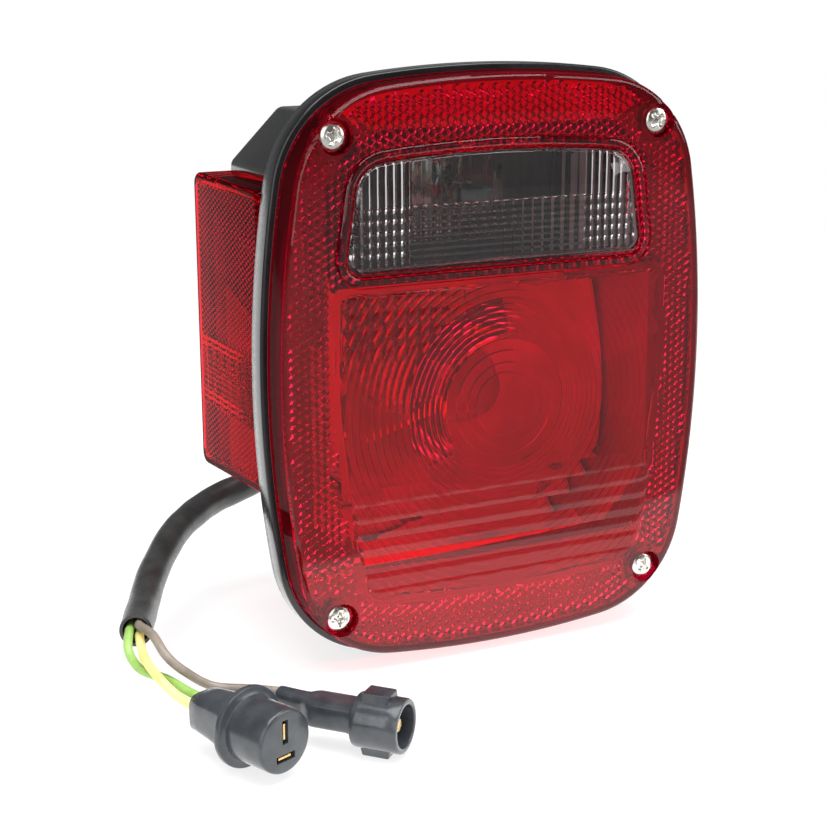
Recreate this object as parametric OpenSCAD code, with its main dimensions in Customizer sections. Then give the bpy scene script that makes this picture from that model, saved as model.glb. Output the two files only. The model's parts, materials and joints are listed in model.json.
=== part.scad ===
// Rear combination lamp for a trailer or light truck: stop, tail, turn, reversing and side marker light.
// Origin: the rear mounting face, level with the centre of the four lens screws.
// X points to the lamp's right as seen from behind the vehicle, Y into the vehicle, Z up. Millimetres.
// A "depth" is a distance forward of the mounting face, along -Y.

/* [Lens] */
// Half width of the red lens, at its middle
lens_half_w = 82.2; // [81:0.1:84]
// Half height of the red lens, at its middle
lens_half_h = 100.7; // [100:0.1:102]
// Radius of the lens's bowed sides
lens_side_r = 399; // [350:1:500]
// Radius of the lens's bowed top and bottom
lens_top_r = 377; // [350:1:450]
// Radius of the lens's corners
lens_corner_r = 39; // [34:0.5:42]
// Depth of the lens's front face
lens_front = 86; // [84:0.5:90]
// Thickness of the lens's front
lens_skin = 3; // [2.4:0.1:3.4]
// Thickness of the lens's skirt
lens_wall = 2.5; // [2:0.1:3]
// Height of the raised frame around the clear window
frame_rise = 1; // [0.5:0.1:1.5]
// Width of that raised frame
frame_w = 4; // [2.5:0.1:4.5]

/* [Clear window] */
// Sideways place of the window's centre
window_x = -1.8; // [-2:0.1:0]
// Half width of the window at its bottom edge
window_bottom_half_w = 56.7; // [54:0.1:58]
// Half width of the window at its top edge
window_top_half_w = 51.6; // [50:0.1:53]
// Height of the window's bottom edge above the lamp's centre
window_bottom = 37; // [36:0.5:40]
// Height of the window's top corners
window_shoulder = 72; // [70:0.5:73]
// How far the window's top edge bows up between its corners
window_bow = 3.1; // [1:0.1:4]
// Radius of the window's two bottom corners
window_low_r = 5; // [4:0.5:7]
// Radius of the window's two top corners
window_high_r = 11; // [8:0.5:12]
// Radius of the bow in the window's top edge
window_bow_r = 380; // [200:10:400]

/* [Housing] */
// How far the black flange stands out around the lens
flange_lip = 2; // [1.5:0.1:3]
// Depth of the flange's front face
flange_front = 73.6; // [72:0.1:75]
// Front-to-back size of the flange's rim
flange_rim = 8.6; // [7:0.1:10]
// Thickness of the flange's plate and rim
flange_skin = 3; // [2.5:0.1:3.5]
// Half width of the box behind the flange
box_half_w = 66; // [65:0.5:67]
// Top of the box above the lamp's centre
box_top = 84.7; // [83:0.1:86]
// Bottom of the box below the lamp's centre
box_bottom = 66; // [65:0.5:68]
// Size of the chamfers on the box's four corners
box_chamfer = 19; // [18:0.5:20]
// Wall thickness of the box
wall = 2.5; // [2.2:0.1:2.8]

/* [Side marker] */
// How far the side marker stands out from the box
marker_out = 14; // [10:0.1:15]
// Height of the marker's top above the lamp's centre
marker_top = 63; // [58:0.5:65]
// Distance of the marker's bottom below the lamp's centre
marker_bottom = 45.3; // [42:0.1:46]
// How far the marker's bottom edge climbs from its rear end to its front end
marker_climb = 4; // [0:0.5:5]
// Depth of the marker's front end
marker_front = 62.3; // [58:0.1:63]
// Wall thickness of the marker
marker_wall = 2.4; // [2:0.1:3]

/* [Lens screws] */
// Distance of the screws from the lamp's centre, sideways
screw_x = 61.4; // [60:0.1:62]
// Distance of the screws from the lamp's centre, up and down
screw_z = 81.8; // [80:0.1:82.5]
// Radius of the screws' shanks
screw_r = 2.4; // [2.2:0.05:2.45]
// Radius of the screws' pan heads
screw_head_r = 5.1; // [4.5:0.1:5.3]
// Length of the screws under the head
screw_len = 19; // [15:1:19]
// Depth of the seat that each screw head rests on
screw_seat = 81; // [79:0.1:81]

/* [Bulbs and sockets] */
// Height of the stop and tail bulb above the lamp's centre
stop_z = -13; // [-16:1:-10]
// Height of the reversing bulb above the lamp's centre
backup_z = 58; // [56:1:60]
// Sideways place of both bulbs
bulb_x = 2; // [0:1:4]
// Outer radius of a bulb's brass base
base_r = 7.57; // [7.5:0.01:7.6]
// How far a bulb is pushed in against its spring
push = 3; // [2:0.1:3]
// How far a bulb is twisted to free its pins
twist_angle = 18; // [12:1:20]

/* [Mounting] */
// Radius of the mounting studs
stud_r = 3.175; // [2.4:0.005:3.2]
// Length of the studs behind the mounting face
stud_len = 19; // [12:1:30]

/* [Cable] */
// Outer radius of the cable's sleeve
sleeve_r = 5.5; // [5:0.1:5.6]
// Radius of each insulated wire
wire_r = 1.5; // [1.2:0.05:1.55]

/* [Hidden] */
$fn = 64;
eps = 0.05;             // gap between parts that only touch
cut = 1;                // how far a cutter runs past the face it opens
arc_steps = 10;

// Places, as [sideways, up]
SCREWS = [[-screw_x, screw_z], [screw_x, screw_z], [-screw_x, -screw_z], [screw_x, -screw_z]];
stop_axis = [bulb_x, stop_z];
backup_axis = [bulb_x, backup_z];
STUDS = [[-40, 50], [40, 50], [0, -46]];
cable_exit = [-43, -52.5];
PANEL_POSTS = [[-50, 68], [50, 68], [46, -50]];

// Housing
boss_r = 5.5;
boss_len = 11;
screw_hole_r = screw_r + 0.05;
stud_seat_r = 3.6;
stud_head_r = 7;
stud_head_h = 2.4;
post_r = 4;

// Lens and gasket
gasket_h = 1;
gasket_w = 3;
skirt_back = flange_front + gasket_h + eps;
screw_pocket_r = 5.9;
screw_post_r = 8;
screw_head_h = 2.6;

// Reflector panel and light baffle
panel_depth = 15;
panel_skin = 1.2;
panel_lip = 7;
panel_gap = 1;
panel_screw_r = 1.7;
baffle_z = 32;
baffle_skin = 1.5;
baffle_gap = 2;

// Bayonet sockets and the bulbs' bases
shell_r = 8.4;
shell_bore_r = base_r + 0.08;
shell_back = 3.6;
shell_mouth = 29;
shell_floor = 1;
shell_flange_r = 12.6;
shell_flange_skin = 1;
rivet_r = 1.15;
rivet_ring_r = 10.4;
lead_hole_r = wire_r + 0.35;
lead_depth = 8.6;
carrier_back = 10.5;
carrier_front = 13.2;
button_r = 1.8;
button_h = 0.9;
insulator_h = 2.5;
solder_h = 0.8;
spring_wire_r = 0.45;
spring_ring_r = 5.6;
spring_turns = 3;
base_back = 15;
base_front = 31;
base_skin = 0.5;
base_rim = 1;           // the glass insulator stands this far proud of the brass
pin_r = 0.95;
pin_reach = 8.9;
pin_room = 0.12;        // clearance around a pin, in the socket and in the panel
pin_depth = 22.5;
pin_step = 3;           // a two-filament bulb's pins sit at different depths
two_buttons = 2.9;

// Bulb glass
glass_r = 13.1;
glass_centre = 52.5;
glass_neck_r = 6.95;
glass_skin = 0.6;
glass_back = 27;
glass_shoulder = 7;     // length of the plain neck, and of the taper's end before the ball's centre
stem_front = 40;
stem_tip_r = 2.4;
stem_foot_h = 1.5;
filament_depth = 49;
filament_half = 3.4;
filament_gap = 4;

// Grommet
grommet_r = 9;
grommet_lip_r = 9.8;
grommet_recess = 2;
grommet_boss = 5;

// Sleeve: the line of its centre, from inside the box to its open end
SLEEVE_LINE = [
    [-43, -8, -52.5], [-43, -2, -52.5], [-43, 4, -52.5], [-46.5, 14, -56.5], [-57, 18.5, -62.9],
    [-70.2, 14.5, -65.3], [-83.9, 3, -66.7], [-96.1, -10, -69.2], [-111.4, -34, -73.3],
    [-122.4, -57, -75.6], [-132.8, -82, -74]
];
sleeve_bore_r = 4.3;
wire_ring_r = 2.1;      // the three wires lie at this distance from the sleeve's centre
wire_lay = -60;         // and turn about it by this angle along its length
sweep_steps = 4;
wire_sides = 8;
sleeve_sides = 16;

// Two-pole plug: its own frame has +X along the plug, and its origin in its flange
plug_two_at = [-114.2, -133.8, -90];
plug_two_turn = -68.5;
plug_two_flange_r = 13.1;
plug_two_barrel_r = 10.3;
plug_two_front = 16.5;
plug_two_back = -21;
slot_deep = 10;
slot_wide = 7.2;
slot_thick = 1.9;
upright_slot_z = -0.4;
flat_slot_z = -6;

// One-pole plug: the same, with its origin in its collar's centre
plug_one_at = [-74.5, -143.5, -92.7];
plug_one_turn = -48.6;
plug_one_collar_r = 8.8;
plug_one_back = -35;
plug_one_floor = -4;

// ---- Outlines, as lists of [sideways, up] points ----

function arc(centre, r, a0, a1) = [
    for (i = [0 : arc_steps]) let (a = a0 + (a1 - a0) * i / arc_steps) centre + r * [cos(a), sin(a)]
];

function angle_of(v) = atan2(v[1], v[0]);

function without_last(p) = [for (i = [0 : len(p) - 2]) p[i]];

// Where two circles meet, on the side away from the origin
function circles_meet(a, ra, b, rb) =
    let (d = norm(b - a), along = (ra * ra - rb * rb + d * d) / (2 * d), off = sqrt(ra * ra - along * along),
         u = (b - a) / d)
    a + along * u + off * [-u[1], u[0]];

// One quarter of a bowed rectangle: side arc, corner arc and top arc, all tangent
function bowed_quarter(half_w, half_h, side_r, top_r, corner_r) =
    let (side_c = [half_w - side_r, 0], top_c = [0, half_h - top_r],
         corner_c = circles_meet(side_c, side_r - corner_r, top_c, top_r - corner_r),
         a = angle_of(corner_c - side_c), b = angle_of(corner_c - top_c))
    concat(without_last(arc(side_c, side_r, 0, a)), without_last(arc(corner_c, corner_r, a, b)),
           without_last(arc(top_c, top_r, b, 90)));

function turn_quarter(p, half_h) = concat([[0, half_h]], [for (i = [len(p) - 1 : -1 : 1]) [-p[i][0], p[i][1]]]);

// The lens's outline, grown outwards by a distance
function lens_outline(grow) =
    let (upper = bowed_quarter(lens_half_w + grow, lens_half_h + grow, lens_side_r + grow, lens_top_r + grow,
                               lens_corner_r + grow),
         half = concat(upper, turn_quarter(upper, lens_half_h + grow)))
    concat(half, [for (p = half) -p]);

// The box's outline, shrunk inwards by a distance
function box_outline(inset) =
    let (w = box_half_w - inset, t = box_top - inset, b = -box_bottom + inset,
         c = box_chamfer - inset * (2 - sqrt(2)))
    [[w, b + c], [w, t - c], [w - c, t], [-w + c, t], [-w, t - c], [-w, b + c], [-w + c, b], [w - c, b]];

// Rounds the corners of a convex outline that runs anticlockwise, each to its own radius
function rounded(p, radii) = [
    for (i = [0 : len(p) - 1])
        let (r = radii[i], here = p[i], before = p[(i + len(p) - 1) % len(p)], after = p[(i + 1) % len(p)],
             u = (before - here) / norm(before - here), v = (after - here) / norm(after - here),
             half = acos(u * v) / 2, mid = (u + v) / norm(u + v), centre = here + mid * r / sin(half),
             a = angle_of(here - centre))
        each arc(centre, r, a - (90 - half), a + (90 - half))
];

function window_outline(grow) =
    let (low = window_bottom_half_w + grow, high = window_top_half_w + grow, sill = window_bottom - grow,
         shoulder = window_shoulder + grow, mid = [window_x, 0])
    rounded([mid + [-low, sill], mid + [low, sill], mid + [high, shoulder], mid + [0, shoulder + window_bow],
             mid + [-high, shoulder]],
            [for (r = [window_low_r, window_low_r, window_high_r, window_bow_r, window_high_r]) r + grow]);

// ---- Shapes along the depth axis ----

module slab(d0, d1) {
    translate([0, -d0, 0]) rotate([90, 0, 0]) linear_extrude(d1 - d0) children();
}

module frame_slab(d0, d1, outer, inner) {
    slab(d0, d1) difference() {
        polygon(outer);
        polygon(inner);
    }
}

module rod(p, d0, d1, r, r_front) {
    translate([p[0], -d0, p[1]]) rotate([90, 0, 0])
        cylinder(h = d1 - d0, r1 = r, r2 = is_undef(r_front) ? r : r_front);
}

// ---- Sweeps: a round section carried along a smooth line ----

function smooth_point(a, b, c, d, t) =
    0.5 * (2 * b + (c - a) * t + (2 * a - 5 * b + 4 * c - d) * t * t + (3 * b - a - 3 * c + d) * t * t * t);

// Before and after are the points that the line goes on to past its ends, where there are any
function smooth_line(p, before, after) = concat([
    for (i = [0 : len(p) - 2], s = [0 : sweep_steps - 1])
        smooth_point(i > 0 ? p[i - 1] : is_undef(before) ? 2 * p[0] - p[1] : before, p[i], p[i + 1],
                     i < len(p) - 2 ? p[i + 2] : is_undef(after) ? 2 * p[i + 1] - p[i] : after, s / sweep_steps)
], [p[len(p) - 1]]);

function heading(p, i) =
    let (v = p[min(i + 1, len(p) - 1)] - p[max(i - 1, 0)]) v / norm(v);

// The two directions across a line at a point; the second is the one nearest to up
function across(p, i) =
    let (t = heading(p, i), side = cross(t, [0, 0, 1]), n = side / norm(side)) [n, cross(n, t)];

function ring(p, i, r, sides) =
    let (f = across(p, i))
    [for (k = [0 : sides - 1]) let (a = 360 * k / sides) p[i] + r * (cos(a) * f[0] + sin(a) * f[1])];

function wall_faces(start, rings, sides, flip) = [
    for (i = [0 : rings - 2], k = [0 : sides - 1])
        let (a = start + i * sides + k, b = start + i * sides + (k + 1) % sides, c = b + sides, d = a + sides)
        each flip ? [[a, c, b], [a, d, c]] : [[a, b, c], [a, c, d]]
];

module solid_sweep(p, r, sides) {
    n = len(p);
    polyhedron(
        points = [for (i = [0 : n - 1]) each ring(p, i, r, sides)],
        faces = concat([[for (k = [sides - 1 : -1 : 0]) k]], wall_faces(0, n, sides, false),
                       [[for (k = [0 : sides - 1]) (n - 1) * sides + k]]));
}

module hollow_sweep(p, r, bore, sides) {
    n = len(p);
    inner = n * sides;
    last = (n - 1) * sides;
    polyhedron(
        points = concat([for (i = [0 : n - 1]) each ring(p, i, r, sides)],
                        [for (i = [0 : n - 1]) each ring(p, i, bore, sides)]),
        faces = concat(wall_faces(0, n, sides, false), wall_faces(inner, n, sides, true), [
            for (k = [0 : sides - 1])
                let (k2 = (k + 1) % sides)
                each [[k, inner + k, inner + k2], [k, inner + k2, k2],
                      [last + k, last + k2, inner + last + k2], [last + k, inner + last + k2, inner + last + k]]
        ]));
}

// ---- Housing ----

module housing_shell() {
    difference() {
        union() {
            slab(0, flange_front) polygon(box_outline(0));
            slab(flange_front - flange_rim, flange_front) polygon(lens_outline(flange_lip));
        }
        slab(wall, flange_front + cut) polygon(box_outline(wall));
        difference() {
            slab(flange_front - flange_rim - cut, flange_front - flange_skin)
                polygon(lens_outline(flange_lip - flange_skin));
            slab(0, flange_front) polygon(box_outline(0));
        }
    }
}

module marker_opening() {
    edge = 6;
    translate([-box_half_w - cut, -marker_front + edge, -marker_bottom + edge])
        cube([wall + 2 * cut, marker_front - 2 * edge, marker_top + marker_bottom - 2 * edge]);
}

module housing() {
    color("#1d1e20") difference() {
        union() {
            housing_shell();
            for (s = SCREWS) rod(s, flange_front - boss_len, flange_front, boss_r);
            for (s = PANEL_POSTS) rod(s, wall / 2, panel_depth - eps, post_r);
            intersection() {
                slab(0, grommet_boss) polygon(box_outline(0));
                rod(cable_exit, 0, grommet_boss, grommet_lip_r + wall);
            }
        }
        for (s = SCREWS) rod(s, flange_front - boss_len - cut, flange_front + cut, screw_hole_r);
        for (s = PANEL_POSTS) rod(s, wall + cut, panel_depth + cut, panel_screw_r + eps);
        for (s = STUDS) rod(s, -cut, wall + cut, stud_seat_r + eps);
        rod(cable_exit, -cut, grommet_boss + cut, grommet_r + eps);
        rod(cable_exit, -cut, grommet_recess, grommet_lip_r + 0.2);
        marker_opening();
    }
}

// The marker's outline seen from its side, as [depth, up], shrunk inwards by a distance
function marker_outline(inset) = [
    [inset, -marker_bottom + inset], [marker_front - inset, -marker_bottom + marker_climb + inset],
    [marker_front - inset, marker_top - inset], [inset, marker_top - inset]
];

// Carries an outline of [depth, up] points sideways
module across_slab(x0, x1) {
    translate([x0, 0, 0]) rotate([0, 0, -90]) rotate([90, 0, 0]) translate([0, 0, x0 - x1])
        linear_extrude(x1 - x0) children();
}

module side_marker_lens() {
    x0 = -box_half_w - marker_out;
    color("#c8202a") difference() {
        across_slab(x0, -box_half_w - eps) polygon(marker_outline(0));
        across_slab(x0 + marker_wall, -box_half_w + cut) polygon(marker_outline(marker_wall));
    }
}

module lens_gasket() {
    color("#26282a")
        frame_slab(flange_front + eps, flange_front + gasket_h, lens_outline(-eps), lens_outline(-gasket_w));
}

// ---- Lens ----

module red_lens() {
    back = lens_front - lens_skin;
    color("#c01824") difference() {
        union() {
            frame_slab(skirt_back, lens_front, lens_outline(0), lens_outline(-lens_wall));
            slab(back, lens_front) polygon(lens_outline(0));
            slab(back, lens_front + frame_rise) polygon(window_outline(frame_w));
            intersection() {
                slab(skirt_back, lens_front) polygon(lens_outline(0));
                for (s = SCREWS) rod(s, skirt_back, lens_front, screw_post_r);
            }
        }
        slab(back - cut, lens_front + frame_rise + cut) polygon(window_outline(0));
        for (s = SCREWS) {
            rod(s, screw_seat, lens_front + cut, screw_pocket_r);
            rod(s, skirt_back - cut, lens_front, screw_hole_r + 0.1);
        }
    }
}

module clear_window() {
    color("#dfe3e6") slab(lens_front - lens_skin, lens_front + frame_rise / 2) polygon(window_outline(-eps));
}

// Pan-head screw with a cross recess; its thread is drawn as a plain shank
module lens_screw(p) {
    dome_r = 7.5;
    dome_back = screw_seat + screw_head_h - dome_r;
    slot_w = 1;
    slot_len = 5;
    slot_depth = 1.6;
    color("#b9bcc0") difference() {
        union() {
            rod(p, screw_seat - screw_len, screw_seat + cut, screw_r);
            intersection() {
                rod(p, screw_seat + eps, screw_seat + screw_head_h + cut, screw_head_r);
                translate([p[0], -dome_back, p[1]]) sphere(r = dome_r);
            }
        }
        for (a = [0, 90])
            translate([p[0], -screw_seat - screw_head_h, p[1]]) rotate([0, a, 0])
                cube([slot_len, 2 * slot_depth, slot_w], center = true);
    }
}

module lens_screw_top_left() lens_screw(SCREWS[0]);
module lens_screw_top_right() lens_screw(SCREWS[1]);
module lens_screw_bottom_left() lens_screw(SCREWS[2]);
module lens_screw_bottom_right() lens_screw(SCREWS[3]);

// ---- Reflector panel, baffle and their fasteners ----

module for_rivets() {
    for (axis = [stop_axis, backup_axis], side = [-1, 1]) {
        $rivet = axis + [0, side * rivet_ring_r];
        children();
    }
}

module reflector_panel() {
    hole_back = panel_depth - cut;
    hole_front = panel_depth + panel_skin + cut;
    color("#d7d9db") difference() {
        union() {
            slab(panel_depth, panel_depth + panel_skin) polygon(box_outline(wall + panel_gap));
            frame_slab(panel_depth, panel_depth + panel_lip, box_outline(wall + panel_gap),
                       box_outline(wall + panel_gap + panel_skin));
        }
        translate([-box_half_w, -panel_depth - panel_lip - cut, -marker_bottom])
            cube([2 * wall + panel_skin + panel_gap, panel_lip + cut - panel_skin, marker_top + marker_bottom]);
        for (axis = [stop_axis, backup_axis]) rod(axis, hole_back, hole_front, pin_reach + pin_room);
        for (s = PANEL_POSTS) rod(s, hole_back, hole_front, panel_screw_r + eps);
        for_rivets() rod($rivet, hole_back, hole_front, rivet_r + eps);
    }
}

module reflector_screws() {
    head_r = 3.4;
    head_h = 1.8;
    tip = 6;
    front = panel_depth + panel_skin + eps;
    color("#a9adb1") for (s = PANEL_POSTS) {
        rod(s, tip, front + head_h / 2, panel_screw_r);
        rod(s, front, front + head_h, head_r, head_r - 1);
    }
}

module light_baffle() {
    side = box_half_w - wall - panel_gap;
    back = panel_depth + panel_skin + eps;
    front = lens_front - lens_skin - baffle_gap;
    color("#1d1e20") translate([-side, -front, baffle_z]) cube([2 * side, front - back - panel_lip, baffle_skin]);
}

module socket_rivets() {
    head_r = 1.9;
    head_h = 0.7;
    front = panel_depth + panel_skin + shell_flange_skin + 2 * eps;
    color("#b5b8bb") for_rivets() {
        rod($rivet, panel_depth - eps - head_h, front + head_h, rivet_r);
        rod($rivet, panel_depth - eps - head_h, panel_depth - eps, head_r);
        rod($rivet, front, front + head_h, head_r);
    }
}

// ---- Bayonet sockets ----

// Side window that a bulb's pin moves in as it is pushed and twisted, and its way in from the mouth
module pin_track(depth) {
    pin_w = pin_r + pin_room;
    sweep = shell_r * sin(twist_angle) + pin_w;
    through = pin_reach - shell_bore_r + 2 * cut;
    translate([shell_bore_r - cut, -depth - pin_w, -sweep])
        cube([through, push + 2 * pin_w, sweep + pin_w]);
    rotate([0, twist_angle, 0]) translate([shell_bore_r - cut, -shell_mouth - cut, -pin_w])
        cube([through, shell_mouth + cut - depth, 2 * pin_w]);
}

module bayonet_socket(axis, step, leads) {
    flange_back = panel_depth + panel_skin + eps;
    color("#c9ccce") difference() {
        union() {
            rod(axis, shell_back, shell_mouth, shell_r);
            rod(axis, flange_back, flange_back + shell_flange_skin, shell_flange_r);
        }
        rod(axis, shell_back + shell_floor, shell_mouth + cut, shell_bore_r);
        for_rivets() rod($rivet, panel_depth, flange_back + shell_flange_skin + cut, rivet_r + eps);
        translate([axis[0], 0, axis[1]]) {
            pin_track(pin_depth);
            rotate([0, 180, 0]) pin_track(pin_depth - step);
            for (a = leads)
                rotate([0, a, 0]) translate([shell_bore_r - cut, -lead_depth, 0]) rotate([0, 90, 0])
                    cylinder(h = shell_r - shell_bore_r + 2 * cut, r = lead_hole_r);
        }
    }
}

module spring(axis) {
    d0 = shell_back + shell_floor + spring_wire_r + eps;
    d1 = carrier_back - spring_wire_r - eps;
    turn_steps = 20;
    steps = spring_turns * turn_steps;
    coil = [for (i = [0 : steps])
        [axis[0] + spring_ring_r * cos(360 * i / turn_steps), -d0 - (d1 - d0) * i / steps,
         axis[1] + spring_ring_r * sin(360 * i / turn_steps)]];
    color("#9fa3a6") spring_sweep(coil, axis);
}

// The coil's section is set out from its own axis, so that it never twists
module spring_sweep(p, axis) {
    n = len(p);
    sides = 8;
    polyhedron(
        points = [for (i = [0 : n - 1]) each
            let (out = [p[i][0] - axis[0], 0, p[i][2] - axis[1]] / spring_ring_r)
            [for (k = [0 : sides - 1])
                let (a = 360 * k / sides) p[i] + spring_wire_r * (cos(a) * out + sin(a) * [0, 1, 0])]],
        faces = concat([[for (k = [sides - 1 : -1 : 0]) k]], wall_faces(0, n, sides, false),
                       [[for (k = [0 : sides - 1]) (n - 1) * sides + k]]));
}

module contact_carrier(axis) {
    color("#5a3a22") rod(axis, carrier_back, carrier_front, base_r);
}

module contact_buttons(axis, offsets) {
    color("#c8a24a") for (x = offsets)
        rod(axis + [x, 0], carrier_front + eps, carrier_front + button_h, button_r, button_r - 0.5);
}

// ---- Bulbs ----

module bulb_base(axis, step) {
    color("#c6a55a") difference() {
        rod(axis, base_back + base_rim, base_front, base_r);
        rod(axis, base_back, base_front + cut, base_r - base_skin);
        translate([axis[0], 0, axis[1]]) {
            translate([0, -pin_depth, 0]) rotate([0, 90, 0]) cylinder(h = base_r + cut, r = pin_r + 0.02);
            translate([0, -pin_depth + step, 0]) rotate([0, -90, 0]) cylinder(h = base_r + cut, r = pin_r + 0.02);
        }
    }
}

module bulb_pins(axis, step) {
    inner = base_r - base_skin + 0.1;
    color("#c6a55a") translate([axis[0], 0, axis[1]]) {
        translate([0, -pin_depth, 0]) rotate([0, 90, 0]) translate([0, 0, inner])
            cylinder(h = pin_reach - inner, r = pin_r);
        translate([0, -pin_depth + step, 0]) rotate([0, -90, 0]) translate([0, 0, inner])
            cylinder(h = pin_reach - inner, r = pin_r);
    }
}

module bulb_insulator(axis) {
    color("#2b2326") rod(axis, base_back, base_back + insulator_h, base_r - base_skin - eps);
}

module bulb_buttons(axis, offsets) {
    color("#b8bcc0") for (x = offsets)
        rod(axis + [x, 0], base_back - solder_h, base_back - eps, button_r - 0.4, button_r);
}

module glass_form(axis, inset) {
    rod(axis, glass_back, glass_centre, glass_neck_r - inset);
    rod(axis, glass_back + glass_shoulder, glass_centre - glass_shoulder, glass_neck_r - inset, glass_r - inset - 2);
    translate([axis[0], -glass_centre, axis[1]]) sphere(r = glass_r - inset);
}

module bulb_glass(axis) {
    color("#e8eef2", 0.4) difference() {
        glass_form(axis, 0);
        glass_form(axis, glass_skin);
        rod(axis, glass_back - cut, glass_centre, glass_neck_r - glass_skin);
    }
}

module bulb_stem(axis) {
    foot_r = glass_neck_r - glass_skin - eps;
    color("#d8e0e4", 0.6) {
        rod(axis, glass_back, glass_back + stem_foot_h, foot_r);
        rod(axis, glass_back + stem_foot_h / 2, stem_front, foot_r - 1, stem_tip_r);
    }
}

// Each filament hangs between two support wires that are sealed into the glass stem
module bulb_filaments(axis, heights) {
    strand_r = 0.35;
    corner = 0.7;
    sealed = 4;
    for (z = heights) {
        left = axis[0] - filament_half;
        right = axis[0] + filament_half;
        foot = -stem_front + sealed;
        top = -filament_depth;
        color("#8f9294") solid_sweep([
            for (p = [[left, foot], [left, top + corner], [left + corner, top],
                      [right - corner, top], [right, top + corner], [right, foot]])
                [p[0], p[1], axis[1] + z]
        ], strand_r, wire_sides);
    }
}

module stop_tail_socket() bayonet_socket(stop_axis, pin_step, [180, 150]);
module stop_tail_spring() spring(stop_axis);
module stop_tail_contact_carrier() contact_carrier(stop_axis);
module stop_tail_contacts() contact_buttons(stop_axis, [-two_buttons, two_buttons]);
module stop_tail_bulb_base() bulb_base(stop_axis, pin_step);
module stop_tail_bulb_pins() bulb_pins(stop_axis, pin_step);
module stop_tail_bulb_insulator() bulb_insulator(stop_axis);
module stop_tail_bulb_buttons() bulb_buttons(stop_axis, [-two_buttons, two_buttons]);
module stop_tail_bulb_glass() bulb_glass(stop_axis);
module stop_tail_bulb_stem() bulb_stem(stop_axis);
module stop_tail_filaments() bulb_filaments(stop_axis, [-filament_gap / 2, filament_gap / 2]);

module backup_socket() bayonet_socket(backup_axis, 0, [180]);
module backup_spring() spring(backup_axis);
module backup_contact_carrier() contact_carrier(backup_axis);
module backup_contact() contact_buttons(backup_axis, [0]);
module backup_bulb_base() bulb_base(backup_axis, 0);
module backup_bulb_pins() bulb_pins(backup_axis, 0);
module backup_bulb_insulator() bulb_insulator(backup_axis);
module backup_bulb_button() bulb_buttons(backup_axis, [0]);
module backup_bulb_glass() bulb_glass(backup_axis);
module backup_bulb_stem() bulb_stem(backup_axis);
module backup_filament() bulb_filaments(backup_axis, [0]);

// ---- Mounting and earth ----

strap_skin = 1;
function stud_seat(s) = s == STUDS[2] ? wall + strap_skin + 2 * eps : wall + eps;

module mounting_studs() {
    color("#aeb2b5") for (s = STUDS) {
        rod(s, -stud_len, 0, stud_r);
        rod(s, 0, stud_seat(s) + stud_head_h / 2, stud_seat_r);
        rod(s, stud_seat(s), stud_seat(s) + stud_head_h, stud_head_r, stud_head_r - 0.8);
    }
}

// Steel strip that carries the earth from the bottom stud to the reflector panel
module ground_strap() {
    half_w = 5;
    tab = 8;
    foot = STUDS[2][1] - tab;
    riser = STUDS[2][1] + 12;
    back = wall + eps;
    top = panel_depth - eps;
    color("#b9bcbe") difference() {
        translate([-half_w, 0, 0]) rotate([90, 0, 90]) linear_extrude(2 * half_w)
            polygon([[-back, foot], [-back, riser], [-top + strap_skin, riser], [-top + strap_skin, riser + tab],
                     [-top, riser + tab], [-top, riser - strap_skin], [-back - strap_skin, riser - strap_skin],
                     [-back - strap_skin, foot]]);
        rod(STUDS[2], 0, back + strap_skin + cut, stud_seat_r + eps);
    }
}

// ---- Cable ----

module cable_grommet() {
    bore = sleeve_r + eps;
    color("#222426") translate([cable_exit[0], 0, cable_exit[1]]) rotate([90, 0, 0]) rotate_extrude()
        polygon([[bore, 0.3], [grommet_lip_r, 0.3], [grommet_lip_r, grommet_recess - eps],
                 [grommet_r, grommet_recess - eps], [grommet_r, grommet_boss + eps],
                 [grommet_lip_r, grommet_boss + eps],
                 [grommet_lip_r - 1, grommet_boss + 2], [bore, grommet_boss + 2]]);
}

module cable_sleeve() {
    color("#3a3b3a") hollow_sweep(smooth_line(SLEEVE_LINE), sleeve_r, sleeve_bore_r, sleeve_sides);
}

// A wire's line inside the sleeve, held off the sleeve's centre and turning slowly about it
function wire_in_sleeve(p, around) = [
    for (i = [0 : len(p) - 1])
        let (f = across(p, i), a = around + wire_lay * i / (len(p) - 1))
        p[i] + wire_ring_r * (cos(a) * f[0] + sin(a) * f[1])
];

// The last stretch of a wire, straight into a socket's lead hole
function lead_in(axis, around) = [
    for (r = [shell_r - 0.2, shell_r + 3, shell_r + 7])
        [axis[0] + r * cos(around), -lead_depth, axis[1] - r * sin(around)]
];

function without_first(p) = [for (i = [1 : len(p) - 1]) p[i]];

module wire(shade, inside, around, outside) {
    sheathed = wire_in_sleeve(smooth_line(SLEEVE_LINE), around);
    n = len(sheathed);
    color(shade) solid_sweep(concat(
        without_last(smooth_line(concat(inside, [sheathed[0]]), undef, sheathed[1])),
        sheathed,
        without_first(smooth_line(concat([sheathed[n - 1]], outside), sheathed[n - 2], undef))
    ), wire_r, wire_sides);
}

module yellow_wire() {
    wire("#e8d27a", concat(lead_in(stop_axis, 150), [[-30, -9.5, -45], [-36.5, -11, -54]]), 300,
         [[-133.6, -93, -79.3], [-131.6, -102, -83.4], [-127.6, -108, -88], [-122, -115, -91.2],
          [-120.6, -118.5, -91.4]]);
}

module green_wire() {
    wire("#7fae4a", concat(lead_in(stop_axis, 180), [[-33, -9.5, -34], [-38.2, -11, -46]]), 60,
         [[-137.6, -89, -77.6], [-134.8, -92.6, -83.2], [-128.5, -99, -85.2], [-123.4, -108, -87.4],
          [-119.6, -115.5, -88], [-118.4, -119, -88]]);
}

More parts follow.
